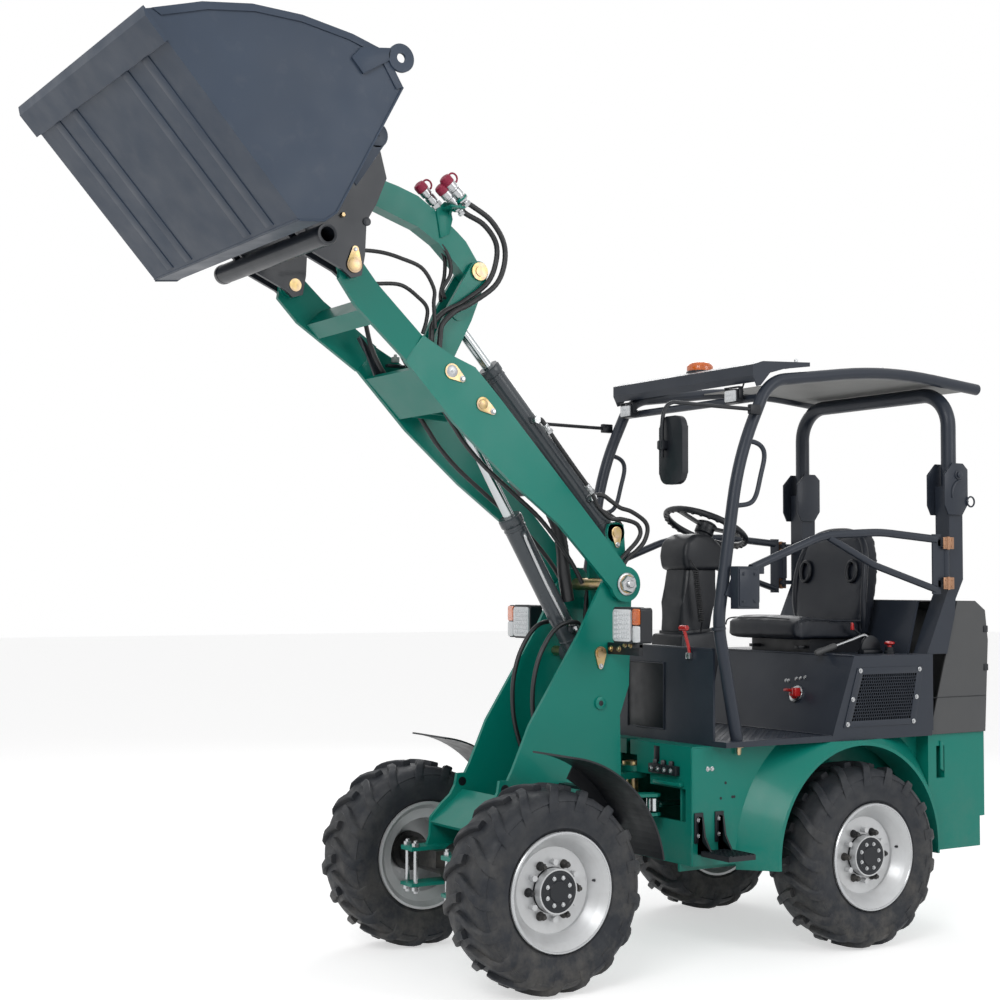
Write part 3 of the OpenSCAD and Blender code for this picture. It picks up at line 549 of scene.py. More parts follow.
# rows of the cushion from the front: (y, underside, face, half width, crown)
CUSHION = ((1478, 92, 112, 205, 2), (1484, 76, 130, 226, 6), (1505, 67, 143, 236, 8),
           (1560, 66, 150, 238, 7), (1650, 66, 143, 238, -6), (1760, 66, 138, 236, -8),
           (1850, 66, 140, 232, -2), (1872, 72, 132, 226, 0))
cushion_rows = [pad_row(half, y, SEAT_Z + low, y, SEAT_Z + high, crown)
                for y, low, high, half, crown in CUSHION]
SIDE_PIPING = ((1486, 116), (1500, 142), (1560, 149), (1700, 142), (1860, 138))
piping = [[(PAD_X * s, y, SEAT_Z + z) for y, z in SIDE_PIPING] for s in (-1, 1)]
piping += [[(-170, 1500, 1348), (0, 1498, 1353), (170, 1500, 1348)],
           [(-232, 1860, 1340), (0, 1868, 1338), (232, 1860, 1340)]]
pad("seat_cushion_pad", cushion_rows, "seat_cushion", piping, 0.008)

# rows of the back from below: (z, rear, face, half width, crown)
BACK = ((1266, 1938, 1900, 180, 0), (1275, 1942, 1890, 208, 4), (1330, 1946, 1886, 220, 5),
        (1420, 1962, 1888, 228, -6), (1500, 1976, 1896, 230, -8), (1580, 1990, 1908, 224, -4),
        (1650, 2000, 1925, 208, 4), (1700, 2006, 1938, 190, 6), (1735, 2004, 1956, 168, 3),
        (1746, 1992, 1972, 140, 0))
back_rows = [pad_row(half, y0, z, y1, z, crown) for z, y0, y1, half, crown in BACK]
half = [(196, 1912, 1290), (216, 1900, 1360), (222, 1894, 1440), (220, 1904, 1540),
        (200, 1928, 1640), (150, 1950, 1712), (80, 1960, 1738), (0, 1962, 1744)]
pad("seat_back_pad", back_rows, "seat_back",
    [[(-x, y, z) for x, y, z in half] + half[-2::-1]], 0.007, 15)

inserts = Pile()
# slots in the back for a belt, seat slides and the bellows under the cushion
for s in (-1, 1):
    # the slots lie on the back's raked face
    oval = [(x, 1889 + 0.11 * (z - 1530), z) for x, z in arc(s * 150, 1560, 30, 46, 0, 6, 24)]
    inserts.tube(oval, 9, 10, True)
    inserts.box((s * 150 - 14, 1560, 1218), (s * 150 + 14, 1900, 1232))
for k in range(5):
    x, z = 176 - 2 * (k % 2), 1221 + 8 * k
    inserts.box((-x, 1612, z), (x, 1916, z + 6), 2)
inserts.make("seat_fittings", black, "rear")

# --- lamps ---

# head lamps, each with its indicator on the outer side
shell = Pile()
shell.prism("y", 460, 520, round_rect(296, 1264, 428, 1407, 14), 6)
shell.prism("y", 464, 520, round_rect(424, 1266, 473, 1405, 12), 4)
shell.prism("y", 519, 532, round_rect(316, 1284, 408, 1387, 20), 5)
shell.box((168, 525, 1215), (380, 545, 1262), 3)
shell.box((300, 500, 1244), (380, 545, 1266), 3)
shell.both().make("head_lamp_shells", black, "front", ["head_lamps"])

lens = Pile()
lens.prism("y", 452, 462, round_rect(305, 1273, 419, 1398, 12), 4)
lens.prism("y", 456, 466, round_rect(429, 1271, 469, 1334, 7), 3)
for i in range(6):
    for j in range(6):
        lens.lathe((320 + 17 * i, 450.6, 1290 + 18 * j), AHEAD,
                   [(7.2, -1), (6.2, 1.6), (3.4, 2.6), (0, 3)], 10)
lens.both().make("head_lamp_lenses", clear, "front")
side = Pile()
side.prism("y", 455, 466, round_rect(429, 1338, 469, 1401, 7), 3)
for k in range(7):
    side.box((431, 453.6, 1343 + 8 * k), (467, 456, 1347 + 8 * k), 0.8)
side.both().make("turn_lamp_lenses", amber, "front")
bolts = Pile()
for x in (322, 358):
    bolts.bolt((x, 500, 1256), AHEAD, 8, 6)
for x in (196, 250):
    bolts.bolt((x, 525, 1238), AHEAD, 9, 6.75)
bolts.both().make("head_lamp_bolts", zinc, "front")

# work lamps under the visor, with cooling fins and a stirrup
work = Pile()
work.prism("y", 1012, 1044, round_rect(322, 2244, 402, 2302, 8), 4)
for k in range(6):
    work.box((330, 1042, 2252 + 8 * k), (394, 1056, 2255 + 8 * k), 0.6)
for x in (316, 404):
    work.prism("x", x, x + 4, [(1018, 2262), (1038, 2262), (1040, 2312), (1016, 2312)], 0.8)
work.box((316, 1014, 2308), (408, 1042, 2312), 0.8)
work.both().make("work_lamp_shells", black, "rear", ["work_lamps"])
work = Pile()
work.prism("y", 1007, 1013, round_rect(328, 2250, 396, 2296, 5), 2)
for x in (341, 362, 383):
    for z in (2263, 2283):
        work.lathe((x, 1006.5, z), AHEAD, [(8.5, -1), (7.5, 1.5), (0, 3)], 14)
work.both().make("work_lamp_lenses", clear, "rear")

# beacon: a ribbed dome on its base
BEACON_X, BEACON_Y, RIBS = -20, 1160, 24
top = Pile()
top.lathe((BEACON_X, BEACON_Y, 2420), UP, [
    (52, 6), (55, 8), (56, 20), (54, 32), (47, 41), (36, 45), (0, 46)], 48)
for x, y in spots(RIBS, 55):
    top.tube([(BEACON_X + x, BEACON_Y + y, z) for z in (2430, 2450)], 1.6, 6)
top.make("beacon_dome", amber, "rear", ["beacon"])
top = Pile()
top.lathe((BEACON_X, BEACON_Y, 2413), UP, [(60, 0), (60, 10), (57, 14), (50, 15)], 48)
top.make("beacon_base", black, "rear")

# --- mirrors ---

arm = Pile()
arm.box((497, 984, 2186), (518, 1040, 2226), 4)
arm.bent([(508, 1030, 2206), (508, 860, 2207), (508, 650, 2209), (508, 590, 2208),
          (508, 555, 2180), (508, 541, 2120), (508, 540, 1990)], 8, 12, 5)
arm.lathe((508, 540, 2018), UP, [(12, 0), (15, 3), (15, 37), (12, 40)], 20)
arm.prism("y", 553, 582, round_rect(472, 1884, 618, 2150, 44), 9, 3)
arm.box((490, 528, 2022), (526, 560, 2056), 4)
arm.both().make("mirror_shells", black, "rear", ["mirrors"])
face = Pile()
face.prism("y", 580.5, 585, round_rect(481, 1893, 609, 2141, 36), 1)
face.both().make("mirror_faces", glass, "rear")

# --- console and controls ---

# the steering wheel's centre and lean
LEAN = Matrix.Translation((0, 1175, 1745)) @ Matrix.Rotation(radians(-25), 4, "X")
RIM_R = 180
stand = Pile()
stand.prism("x", -108, 108, [
    (930, 872), (948, 1150), (960, 1286), (1150, 1300), (1168, 1200), (1100, 872)], 14, 3)
stand.prism("x", -76, 76, [
    (975, 1280), (990, 1420), (1010, 1580), (1180, 1580), (1168, 1440), (1140, 1280)], 24, 4)
stand.prism("x", -94, 94, [
    (996, 1556), (984, 1620), (996, 1680), (1050, 1716), (1130, 1712), (1194, 1670), (1206, 1600),
    (1180, 1556)], 26, 5)
stand.prism("x", -80, 80, [(982, 1270), (978, 1300), (1156, 1312), (1160, 1280)], 5)
stand.make("console_shell", black, "rear", ["steering_console"])
column = Pile()
column.lathe((0, 0, 0), UP, [
    (66, -160), (62, -130), (50, -108), (42, -104), (36, -98), (36, -30), (30, -20)], 32)
for k in range(7):
    column.lathe((0, 0, -150 + 9 * k), UP, [(64 - 3 * k, 0), (68 - 3 * k, 3), (64 - 3 * k, 6)], 32)
column.move(LEAN).make("column_boot", black, "rear")
dash = Pile()
dash.prism("y", 1172, 1182, round_rect(-52, 1460, 52, 1550, 14), 2)
for x in (-40, 0, 40):
    dash.box((x - 12, 1166, 1390), (x + 12, 1184, 1410), 2)
dash.make("dash_panel", glass, "rear")
# coiled lead down the console's side
COILS, PER_COIL = 24, 14
coil = Pile()
turns = []
for k in range(COILS * PER_COIL):
    a = 2 * pi * k / PER_COIL
    h = k / (COILS * PER_COIL)
    turns.append((118 + 11 * cos(a), 1020 + 34 * h + 11 * sin(a), 1560 - 220 * h))
coil.tube([(100, 1010, 1600), (112, 1012, 1585)] + turns + [(112, 1058, 1320), (104, 1060, 1290)],
          3, 7)
coil.make("console_lead", hose, "rear")

# steering wheel: horn cap, boss, knob and finger grips under the rim
GRIPS = 30
wheel = Pile()
wheel.lathe((0, 0, 0), UP, [(30, 9), (44, 11), (46, 15), (40, 20), (0, 22)], 40)
wheel.lathe((0, 0, 0), UP, [(38, -34), (42, -30), (42, -18), (38, -14)], 40)
a = radians(150)
wheel.lathe((RIM_R * cos(a), RIM_R * sin(a), 0), UP, [
    (19, 8), (19, 18), (12, 22), (12, 26), (21, 34), (25, 46), (22, 56), (12, 61), (0, 62)], 28)
for x, y in spots(GRIPS, RIM_R):
    wheel.lathe((x, y, -9), (0, 0, -1), [(9, 0), (8, 6), (4, 8), (0, 8.4)], 10)
wheel.move(LEAN).make("wheel_trim", black, "wheel_hand")

# levers, switches and the emergency stop
SWITCH = (240, 1474, 1030)
FACE = (0, -0.93, 0.36)
red_bits = Pile()
red_bits.tube([(300, 846, 1200), (300, 838, 1240), (300, 815, 1312)], 7, 12)
red_bits.lathe((276, 813, 1320), LEFT, [(8, 0), (11, 3), (11, 45), (8, 48)], 18)
red_bits.lathe((400, 1872, 1229), UP, [
    (9, 0), (9, 8), (17, 10), (23, 15), (22, 21), (13, 25), (0, 26)], 28)
red_bits.lathe(SWITCH, FACE, [(26, 0), (26, 8), (20, 12), (20, 24), (12, 30), (0, 31)], 10)
red_bits.box((262, 1428, 1022), (284, 1462, 1058), 5)
red_bits.box((206, 1430, 1040), (262, 1456, 1052), 4)
red_bits.prism("x", 258, 268, [(1776, 1300), (1794, 1300), (1790, 1330), (1780, 1334)], 3)
red_bits.make("red_controls", red, "rear", ["control_levers"])
mounts = Pile()
mounts.box((288, 830, 1194), (312, 850, 1220), 3)
mounts.lathe(SWITCH, FACE, [(38, -6), (38, 2), (34, 5), (24, 6)], 28)
for x, z in ((212, 1092), (236, 1096), (262, 1100), (150, 1082), (166, 1082)):
    mounts.bolt((x, 1420 + 0.381 * (z - 872) - 1, z), FACE, 6, 4)
mounts.bent([(350, 1805, 1262), (350, 1770, 1280), (350, 1700, 1262), (350, 1600, 1236)], 6.5, 12)
mounts.make("control_mounts", steel, "rear")
bases = Pile()
bases.lathe((400, 1872, 1200), UP, [(24, 0), (24, 8), (19, 14), (19, 28), (10, 30)], 28)
bases.prism("x", 342, 358, arc(1805, 1215, 58, 64, 0, pi, 16), 3)
bases.box((330, 1748, 1200), (370, 1862, 1216), 3)
bases.prism("x", 259, 267, [(1852, 1262), (1866, 1262), (1794, 1312), (1776, 1312)], 2)
bases.make("control_bases", black, "rear")
grip = Pile()
grip.lathe((350, 1602, 1237), (0, -1, -0.26), [
    (8, 0), (13, 5), (14, 30), (12.5, 60), (14, 95), (13, 116), (7, 122)], 20)
grip.make("lever_grip", hood, "rear")

# --- arm, pins and hoses ---

# pins of the linkage, (y, z)
BOOM, TIP, LEVER = (596, 1497), (-698, 2650), (-232, 2304)
LIFT_ROD, LIFT_BASE = (-93, 2187), (489, 1219)
TILT_BASE, TILT_ROD = (646, 1710), (-120, 2557)


def plus(a, dy, dz):
    return (a[0] + dy, a[1] + dz)


# where the small bolt of each pin's flag sits
ROD_FLAG, LEVER_FLAG = plus(LIFT_ROD, 46, -26), plus(LEVER, 46, -26)
TIP_FLAG = plus(TIP, 3, 56)
TILT_FLAG, LIFT_FLAG = plus(TILT_BASE, 4, -50), plus(LIFT_BASE, 0, -52)

p = Pile()
p.prism("x", 200.5, 206, strap(LIFT_ROD, ROD_FLAG, 28, 13), 0.8)
p.lathe((205, *LIFT_ROD), LEFT, [(20, 0), (20, 4), (17, 6), (0, 6)], 32)
p.both().make("rod_pin_flags", zinc, "boom_arm")
p = Pile()
for q in (LEVER_FLAG, ROD_FLAG):
    p.bolt((206, *q), LEFT, 9, 7)
p.lathe((206, *LEVER), LEFT, [(24, -3), (24, 1), (21, 3), (0, 3)], 32)
p.lathe((208, *LEVER), LEFT, [(6, 0), (6, 4), (4, 5), (0, 5)], 12)
p.both().make("arm_bolts", steel, "boom_arm")
p = Pile()
p.prism("x", 289, 294.5, strap(TIP, TIP_FLAG, 30, 13), 0.8)
p.lathe((294, *TIP), LEFT, [(25, 0), (25, 3), (22, 4), (0, 4)], 32)
p.both().make("tip_flags", zinc, "hitch")
p = Pile()
p.lathe((294.5, *TIP_FLAG), LEFT, [(8, -1), (8, 2.4), (6.56, 3)], HEX)
p.both().make("tip_bolts", steel, "hitch")
p = Pile()
p.lathe((201, *BOOM), LEFT, [(46, 0), (46, 6), (43, 8), (30, 9)], 40)
p.lathe((209, *BOOM), LEFT, [(37, 0), (37, 14), (33, 19)], HEX)
p.lathe((227, *BOOM), LEFT, [(16, 0), (16, 9), (13, 12), (0, 12)], 24)
p.both().make("boom_nuts", steel, "front")
p = Pile()
p.prism("x", 62.5, 68.5, strap(TILT_BASE, TILT_FLAG, 26, 12), 0.8)
p.prism("x", 168.5, 172, strap(LIFT_BASE, LIFT_FLAG, 27, 12), 0.8)
p.both().make("base_flags", zinc, "front")
p = Pile()
p.bolt((68.5, *TILT_FLAG), LEFT, 8, 6)
p.bolt((175, *LIFT_FLAG), LEFT, 8, 6)
# clamp studs of the front axle with their nuts
for x in (122, 188):
    for y in (-192, 158):
        p.lathe((x, y, 280), UP, [(8, 0), (9, 2), (9, 204), (7, 206)], 16)
        for z, thick in ((290, 15), (462, 14)):
            p.lathe((x, y, z), UP, [(15, 0), (15, thick)], HEX)
p.both().make("front_bolts", steel, "front")
p = Pile()
# clamp plate of the front axle, boss of a tower hole and eye of the tilt pin
p.box((112, -215, 306), (205, 180, 320), 2)
p.prism("x", 160, 176, arc(489, 1019, 26, 26, 0, 6, 24), 1.5)
p.prism("x", 46, 62, arc(*TILT_BASE, 45, 45, 0, 6, 30), 1.5)
p.both().make("front_plates", green, "front")
# black plugs, painted shade standing for the dark inside of a hole in the front frame and of the
# hole in the tower's boss
p = Pile()
p.lathe((151.3, 38, 702), LEFT, [(18, 0), (18, 17.4)], 28)
p.lathe((165, 489, 1019), LEFT, [(11, 0), (11, 11.5), (9, 12)], 20)
p.both().make("front_hole_shade", black, "front")

# lower bracket between the arms with its small connector
p = Pile()
p.prism("x", -128, -118, [
    (-330, 2230), (-345, 2283), (-412, 2414), (-456, 2461), (-470, 2450), (-430, 2390),
    (-390, 2300)], 1.5)
p.box((-150, -330, 2350), (-128, -250, 2362), 2)
p.make("arm_bracket", hitch_dark, "boom_arm")
p = Pile()
p.box((-156, -300, 2372), (-136, -272, 2394), 2)
p.lathe((-146, -286, 2392), UP, [(7, 0), (7, 8), (5, 12)], 14)
p.make("arm_connector", white, "boom_arm")

# Hoses, each held by the machine at both ends: name, body, radius and route
HOSES = [
    ("tilt_loop", "front", 9.5, [
        (58, 523, 1850), (72, 540, 1862), (80, 570, 1860), (84, 610, 1836), (86, 652, 1812),
        (88, 706, 1798), (90, 772, 1761), (90, 789, 1724), (90, 772, 1676), (91, 736, 1640),
        (94, 672, 1592), (98, 640, 1530), (100, 618, 1478), (100, 606, 1380), (100, 603, 1200),
        (100, 600, 1000), (100, 592, 900)]),
    ("tilt_loop_2", "front", 9.5, [
        (80, 540, 1815), (84, 600, 1768), (88, 660, 1765), (90, 730, 1748), (90, 752, 1712),
        (90, 730, 1672), (92, 680, 1628), (96, 620, 1570), (100, 590, 1500), (104, 575, 1400),
        (108, 572, 1250)]),
    ("tilt_run", "tilt_cyl", 9, [
        (62, 262, 2150), (76, 262, 2158), (82, 282, 2132), (80, 330, 2076), (80, 420, 1974),
        (80, 500, 1884), (80, 540, 1815)]),
    ("lift_loop", "front", 9.5, [
        (61, 440, 1318), (72, 452, 1330), (78, 440, 1340), (78, 400, 1342), (77, 350, 1326),
        (76, 300, 1278), (75, 252, 1190), (74, 228, 1080), (73, 232, 960), (72, 262, 850),
        (70, 300, 760), (68, 320, 640), (66, 320, 478)]),
    ("arm_run", "boom_arm", 9.5, [
        (70, 470, 1500), (76, 400, 1600), (92, 260, 1745), (100, 120, 1850), (100, -20, 1955),
        (100, -110, 2040), (100, -165, 2110), (100, -222, 2182), (100, -300, 2258),
        (100, -372, 2332), (100, -420, 2420), (100, -450, 2520), (100, -490, 2575),
        (100, -525, 2564), (100, -546, 2544)]),
    ("arm_mid", "boom_arm", 11, [
        (84, -330, 2296), (78, -290, 2340), (74, -256, 2400), (72, -247, 2449),
        (72, -242, 2499), (72, -197, 2548), (74, -150, 2576)]),
    ("arm_mid_2", "boom_arm", 11, [
        (104, -310, 2290), (100, -268, 2330), (96, -232, 2380), (94, -222, 2440),
        (94, -214, 2494), (95, -172, 2542), (96, -130, 2570)]),
    ("link_loop", "lever", 11, [
        (74, -150, 2576), (74, -104, 2602), (76, 2, 2684), (76, 43, 2770), (76, 43, 2851),
        (74, -12, 2917), (72, -90, 2950), (72, -139, 2977)]),
    ("link_loop_2", "lever", 11, [
        (96, -130, 2570), (97, -90, 2590), (99, 24, 2672), (99, 68, 2760), (98, 66, 2850),
        (96, 10, 2930), (94, -70, 2976), (92, -130, 3000)]),
    ("hitch_feed", "boom_arm", 8, [
        (96, -245, 2480), (98, -253, 2574), (100, -254, 2634), (98, -305, 2708),
        (94, -395, 2738), (84, -473, 2754), (76, -560, 2754), (74, -640, 2740)]),
    ("hitch_feed_2", "boom_arm", 8, [
        (78, -290, 2460), (74, -272, 2510), (72, -268, 2561), (70, -303, 2598),
        (70, -383, 2640), (70, -495, 2634), (70, -604, 2620)]),
    ("under_link", "lever", 8, [
        (44, -190, 2600), (22, -178, 2636), (4, -150, 2720), (0, -156, 2801), (0, -226, 2874),
        (0, -300, 2900)]),
    ("under_link_2", "lever", 8, [
        (60, -182, 2610), (30, -173, 2652), (30, -138, 2716), (30, -150, 2786),
        (24, -200, 2850), (20, -250, 2890)]),
    ("sleeve", "boom_arm", 27, [
        (20, 205, 1950), (20, 247, 1916), (20, 320, 1837), (20, 379, 1733), (20, 405, 1640),
        (20, 414, 1541), (20, 435, 1427)]),
]
PAIRED = ("tilt_loop", "lift_loop", "arm_run")
BRAID = 0.955
for name, body, r, route in HOSES:
    p = Pile()
    path = smooth_path(route, 12)
    # the braid shows as fine ribs round the hose
    p.tube(path, r, 14, radii=[r if k % 2 else r * BRAID for k in range(len(path))])
    if name in PAIRED:
        p.both()
    p.make(f"hose_{name}", hose, body)

# Crimped end fittings of each body: place, direction, radius, and the sides that have one
FITTINGS = {
    "tilt_cyl": [((80, 282, 2132), (0, 0.66, -0.75), 12, (1,)),
                 ((80, 490, 1896), (0, 0.66, -0.75), 12, (1,)),
                 ((48, 243, 2156), LEFT, 13, (1,)),
                 ((46, 523, 1850), LEFT, 13, (1, -1))],
    "lift_cyl": [((50, 440, 1318), (1, 0.2, 0.1), 13, (1, -1))],
    "boom_arm": [((100, -546, 2544), (0, 0.7, 0.7), 13, (1, -1))],
    "link": [((72, -133, 2972), (0, 0.76, -0.65), 14, (1,)),
             ((92, -124, 3003), (0, 0.76, -0.65), 14, (1,))],
}
CRIMP = ((0.95, -8), (1.02, -2), (0.92, 0), (1.02, 2), (0.92, 6), (1.02, 10), (0.95, 24))
for body, fittings in FITTINGS.items():
    p = Pile()
    for (x, y, z), axis, r, ways in fittings:
        for way in ways:
            o, a = Vector((x * way, y, z)), Vector((axis[0] * way, *axis[1:]))
            p.lathe(o, a, [(r * k, h) for k, h in CRIMP], 18)
            p.lathe(o + a.normalized() * 22, a, [(r * 1.25, 0), (r * 1.25, 12)], HEX)
    if body == "lift_cyl":
        # the pipe along the cylinder
        p.bent([(46, 203, 1695), (62, 196, 1688), (60, 215, 1650), (58, 300, 1500),
                (56, 395, 1350), (48, 420, 1325)], 6.5, 12)
        p.lathe((40, 203, 1695), LEFT, [(13, 0), (13, 18)], HEX)
    p.make(f"fittings_{body}", steel, body)

# service couplings on the link's side, with their caps
COUPLINGS = ((72, -139, 2977), (92, -130, 3008), (22, -205, 2986))
OUT = (0, -0.75, 0.66)
p = Pile()
p.prism("x", 34, 40, [
    (-190, 2850), (-150, 2870), (-135, 2930), (-150, 3000), (-172, 2996), (-210, 2960)], 1)
p.tube([(38, -150, 2950), (60, -146, 2976), (108, -142, 2994)], 7, 8)
for x, y, z in COUPLINGS[:2]:
    p.lathe((x, y + 6, z - 5), (0, -0.76, 0.65), [(24, 0), (24, 7)], 20)
p.box((34, -186, 2962), (112, -120, 2970), 1)
p.make("coupling_plate", green, "link")
nipples, caps = Pile(), Pile()
for q in COUPLINGS:
    nipples.lathe(q, OUT, [
        (15, -20), (19, -16), (19, -4), (16, -2), (16, 8), (22, 10), (22, 38), (18, 40), (18, 46),
        (23, 48), (23, 72), (18, 76)], 26)
    nipples.lathe(q, OUT, [(23, -14), (23, 2)], HEX)
    tip = Vector(q) + Vector(OUT).normalized() * 74
    caps.lathe(q, OUT, [(22, 70), (25, 73), (25, 96), (21, 104), (10, 108), (0, 109)], 26)
    # the strap that keeps the cap
    ring = [tip + Vector((0, y, z)) for y, z in arc(18, 22, 20, 20, 0, 6, 18)]
    caps.tube(ring, 4, 8, True)
nipples.make("couplings", steel, "link")
caps.make("coupling_caps", plum, "link", ["service_couplings"])

# gland rings and ports of the cylinders: base, rod end, length, radius, ports
BARRELS = {"lift": (LIFT_BASE, LIFT_ROD, 640, 45, (110, 555)),
           "tilt": (TILT_BASE, TILT_ROD, 880, 42, (183, 601))}
for name, (a, b, length, r, ports) in BARRELS.items():
    p = Pile()
    u = (Vector(b) - Vector(a)).normalized()
    o, line = (0, *a), (0, *u)
    p.lathe(o, line, [(x, length - h) for x, h in (
        (24, 1), (r - 4, 1), (r + 4, 5), (r + 5, 8), (r + 5, 34), (r + 1, 40), (r - 2, 41),
        (24, 41))], 48, True)
    for s in ports:
        q = Vector(a) + u * s
        for way in (-1, 1):
            p.lathe((way * (r - 8), *q), (way, 0, 0), [(15, 0), (15, 20), (12, 22)], 20)
    for s in (60, length - 60):
        band = [(r - 1, s), (r + 2.2, s + 3), (r + 2.2, s + 9), (r - 1, s + 12)]
        p.lathe(o, line, band, 48, True)
    p.make(f"{name}_glands", cylinder, f"{name}_cyl")

# --- bucket and hitch ---

# forms are drawn from the tip pin, with the bucket level
CURL = Matrix.Translation((0, TIP[0], TIP[1])) @ Matrix.Rotation(radians(-48), 4, "X")
HALF = 675
EDGE = HALF - 12
RIM = [(-420, 365), (-553, 389), (-664, 320), (-813, 200), (-936, 68), (-1034, -80), (-1108, -240)]
p = Pile()
# wear strips, the side plates' rim bands, lifting ears and catches
for x in (240, 430):
    p.box((x, -1001, -267.5), (x + 60, -320, -263), 1)
inner = [(-560 + (y + 560) * 0.935, -60 + (z + 60) * 0.935) for y, z in RIM]
p.prism("x", HALF - 14.5, HALF - 9, RIM + inner[::-1], 1)
p.lathe((HALF - 15, -501, 424), LEFT, [(17, 0), (17, 10), (18, 11), (49, 11), (50, 10), (50, 0)],
        40, True)
p.prism("x", HALF - 15, HALF - 4, [(-549, 412), (-612, 316), (-606, 262), (-540, 262),
                                   (-520, 378)], 1)
p.lathe((HALF - 74, -348, 200), LEFT, [(12, 0), (12, 10), (44, 10), (46, 9), (46, 0)], 32, True)
p.prism("x", HALF - 74, HALF - 64, [
    (-394, 200), (-372, 170), (-330, 158), (-302, 200), (-258, 20), (-330, 20)], 1)
# weld seams round the side plates and under the floor's ends
p.tube([(EDGE, -300, -264), (EDGE, -246, -190), (EDGE, -240, -133), (EDGE, -420, 365)], 4, 8)
for y in (-1000, -306):
    p.tube([(0, y, -264), (HALF - 16, y, -264)], 3, 8)
p.move(CURL).both().make("bucket_trim", slate, "hitch")
p = Pile()
p.lathe((438, -173, -103), LEFT, [(28, 0), (28, 23), (30, 24), (38, 24), (39, 22), (39, 0)], 36,
        True)
for q in ((-88, 147), (-200, -60), (-300, 330)):
    p.lathe((287.5, *q), LEFT, [(16, 0), (16, 4), (13, 5), (0, 5)], 24)
p.prism("x", 220, 272, [(-100, 120), (-86, 110), (-190, -90), (-204, -84)], 2)
p.move(CURL).both().make("hitch_trim", hitch_dark, "hitch")
p = Pile()
p.lathe((225, -164, 81), LEFT, [(9, 0), (9, 72), (7, 76), (0, 76)], 20)
p.lathe((288, -300, 60), LEFT, [(20, 0), (20, 6), (17, 8), (0, 8)], 24)
p.move(CURL).both().make("hitch_locks", zinc, "hitch")

# --- cab sides, canopy and rear frame ---

# the grilles: a sheet with a fine mesh in its window, held by screws
FRAME_LINE = [(1480, 905), (1562, 1150), (1950, 1150), (1900, 905)]
WINDOW = [(1524, 930), (1590, 1122), (1908, 1122), (1868, 930)]
ROWS, COLUMNS, WIRE, MESH_X = 15, 26, 1.6, (520.5, 523)
LOW, HIGH = WINDOW[0][1], WINDOW[1][1]


def level(row):
    return LOW + (HIGH - LOW) * row / ROWS


def across(t, z):
    """The y at a height, t of the way from the window's front edge to its back."""
    k = (z - LOW) / (HIGH - LOW)
    a, b, c, d = (y for y, _ in WINDOW)
    front, back = a + (b - a) * k, d + (c - d) * k
    return front + (back - front) * t


p = Pile()
for i in range(4):
    k = (i + 1) % 4
    p.prism("x", 520, 524, [FRAME_LINE[i], FRAME_LINE[k], WINDOW[k], WINDOW[i]], 0.8)
for i in range(1, ROWS):
    z = level(i)
    front, back = across(0, z), across(1, z)
    p.prism("x", *MESH_X, [(front, z - WIRE), (back, z - WIRE), (back, z + WIRE),
                           (front, z + WIRE)])
for k in range(1, COLUMNS):
    for i in range(ROWS):
        lo, hi = level(i), level(i + 1)
        t = (k + 0.5 * (i % 2)) / COLUMNS
        y0, y1 = across(t, lo), across(t, hi)
        p.prism("x", *MESH_X, [(y0 - WIRE, lo), (y0 + WIRE, lo), (y1 + WIRE, hi),
                               (y1 - WIRE, hi)])
p.both().make("grille_mesh", iron, "rear", ["vent_grilles"])
p = Pile()
for y, z in ((1577, 1138), (1925, 1138), (1532, 1020), (1905, 1020), (1502, 917), (1886, 917)):
    p.bolt((524, y, z), LEFT, 7.5, 5)
p.both().make("grille_screws", steel, "rear")

# canopy: hinge straps, a flange round each front post, and grab handles
p = Pile()
for low in (1490, 1668):
    p.box((519, 2040, low), (526, 2058, low + 30), 1)
p.lathe((470, 853, 1315), (0, -0.087, 0.996), [(24, 0), (30, 1), (31, 4), (30, 11), (24, 12)], 32,
        True)
p.bent([(478, 980, 2078), (478, 1040, 2076), (478, 1080, 2055), (478, 1090, 2015),
        (478, 1070, 1940), (478, 1045, 1860), (478, 1010, 1826), (478, 940, 1815)], 10, 12, 5)
# fold plates of the rear hoop, each with its arc groove raised at the rim
for x in (416, 516):
    p.prism("x", x, x + 8, [
        (2090, 1850), (2112, 1808), (2200, 1808), (2235, 1855), (2235, 2010), (2205, 2036),
        (2140, 2036), (2090, 1985)], 2)
groove = arc(2195, 1900, 62, 62, radians(95), radians(197), 17)
p.tube([(526, y, z) for y, z in groove], 5, 8)
p.both().make("canopy_trim", iron, "rear")
p = Pile()
p.lathe((524, 2172, 1985), LEFT, [(20, 0), (20, 4), (14, 6), (14, 14), (10, 16)], 28)
p.tube([(526, 2250 + y, 1868 + z) for y, z in spots(24, 22)], 4, 8, True)
p.lathe((520, 2226, 1868), (0, 1, 0), [(7, 0), (7, 10), (5, 12)], 16)
p.both().make("fold_pins", iron, "rear")
p = Pile()
for z in (1682, 1507):
    p.lathe((539, 2091, z - 28), UP, [(8, 0), (8, 56)], 16)
    for y in (2072, 2110):
        p.box((537.5, y - 14, z - 26), (543, y + 14, z + 26), 2.5)
        for dz in (-15, 15):
            p.lathe((543, y, z + dz), LEFT, [(6, 0), (5, 2.5), (0, 3)], 12)
p.both().make("door_hinges", copper, "rear")

for name, body, s in (("left", "door_l", 1), ("right", "door_r", -1)):
    p = Pile()
    x = s * 522
    strike = [(862, 1455), (900, 1440), (960, 1440), (960, 1535), (900, 1535)]
    p.prism("x", x - 24, x - 19, strike, 1)
    p.prism("x", *sorted((x + s * 25, x + s * 29)),
            [(896, 1412), (992, 1406), (1000, 1430), (1000, 1556), (896, 1560)], 2)
    p.box((x - 12, 996, 1540), (x + 12, 1040, 1580), 3)
    for y, z in ((915, 1540), (975, 1540), (915, 1430), (975, 1430)):
        p.bolt((x + s * 29, y, z), (s, 0, 0), 6, 4)
    p.make(f"door_latch_{name}", iron, body)
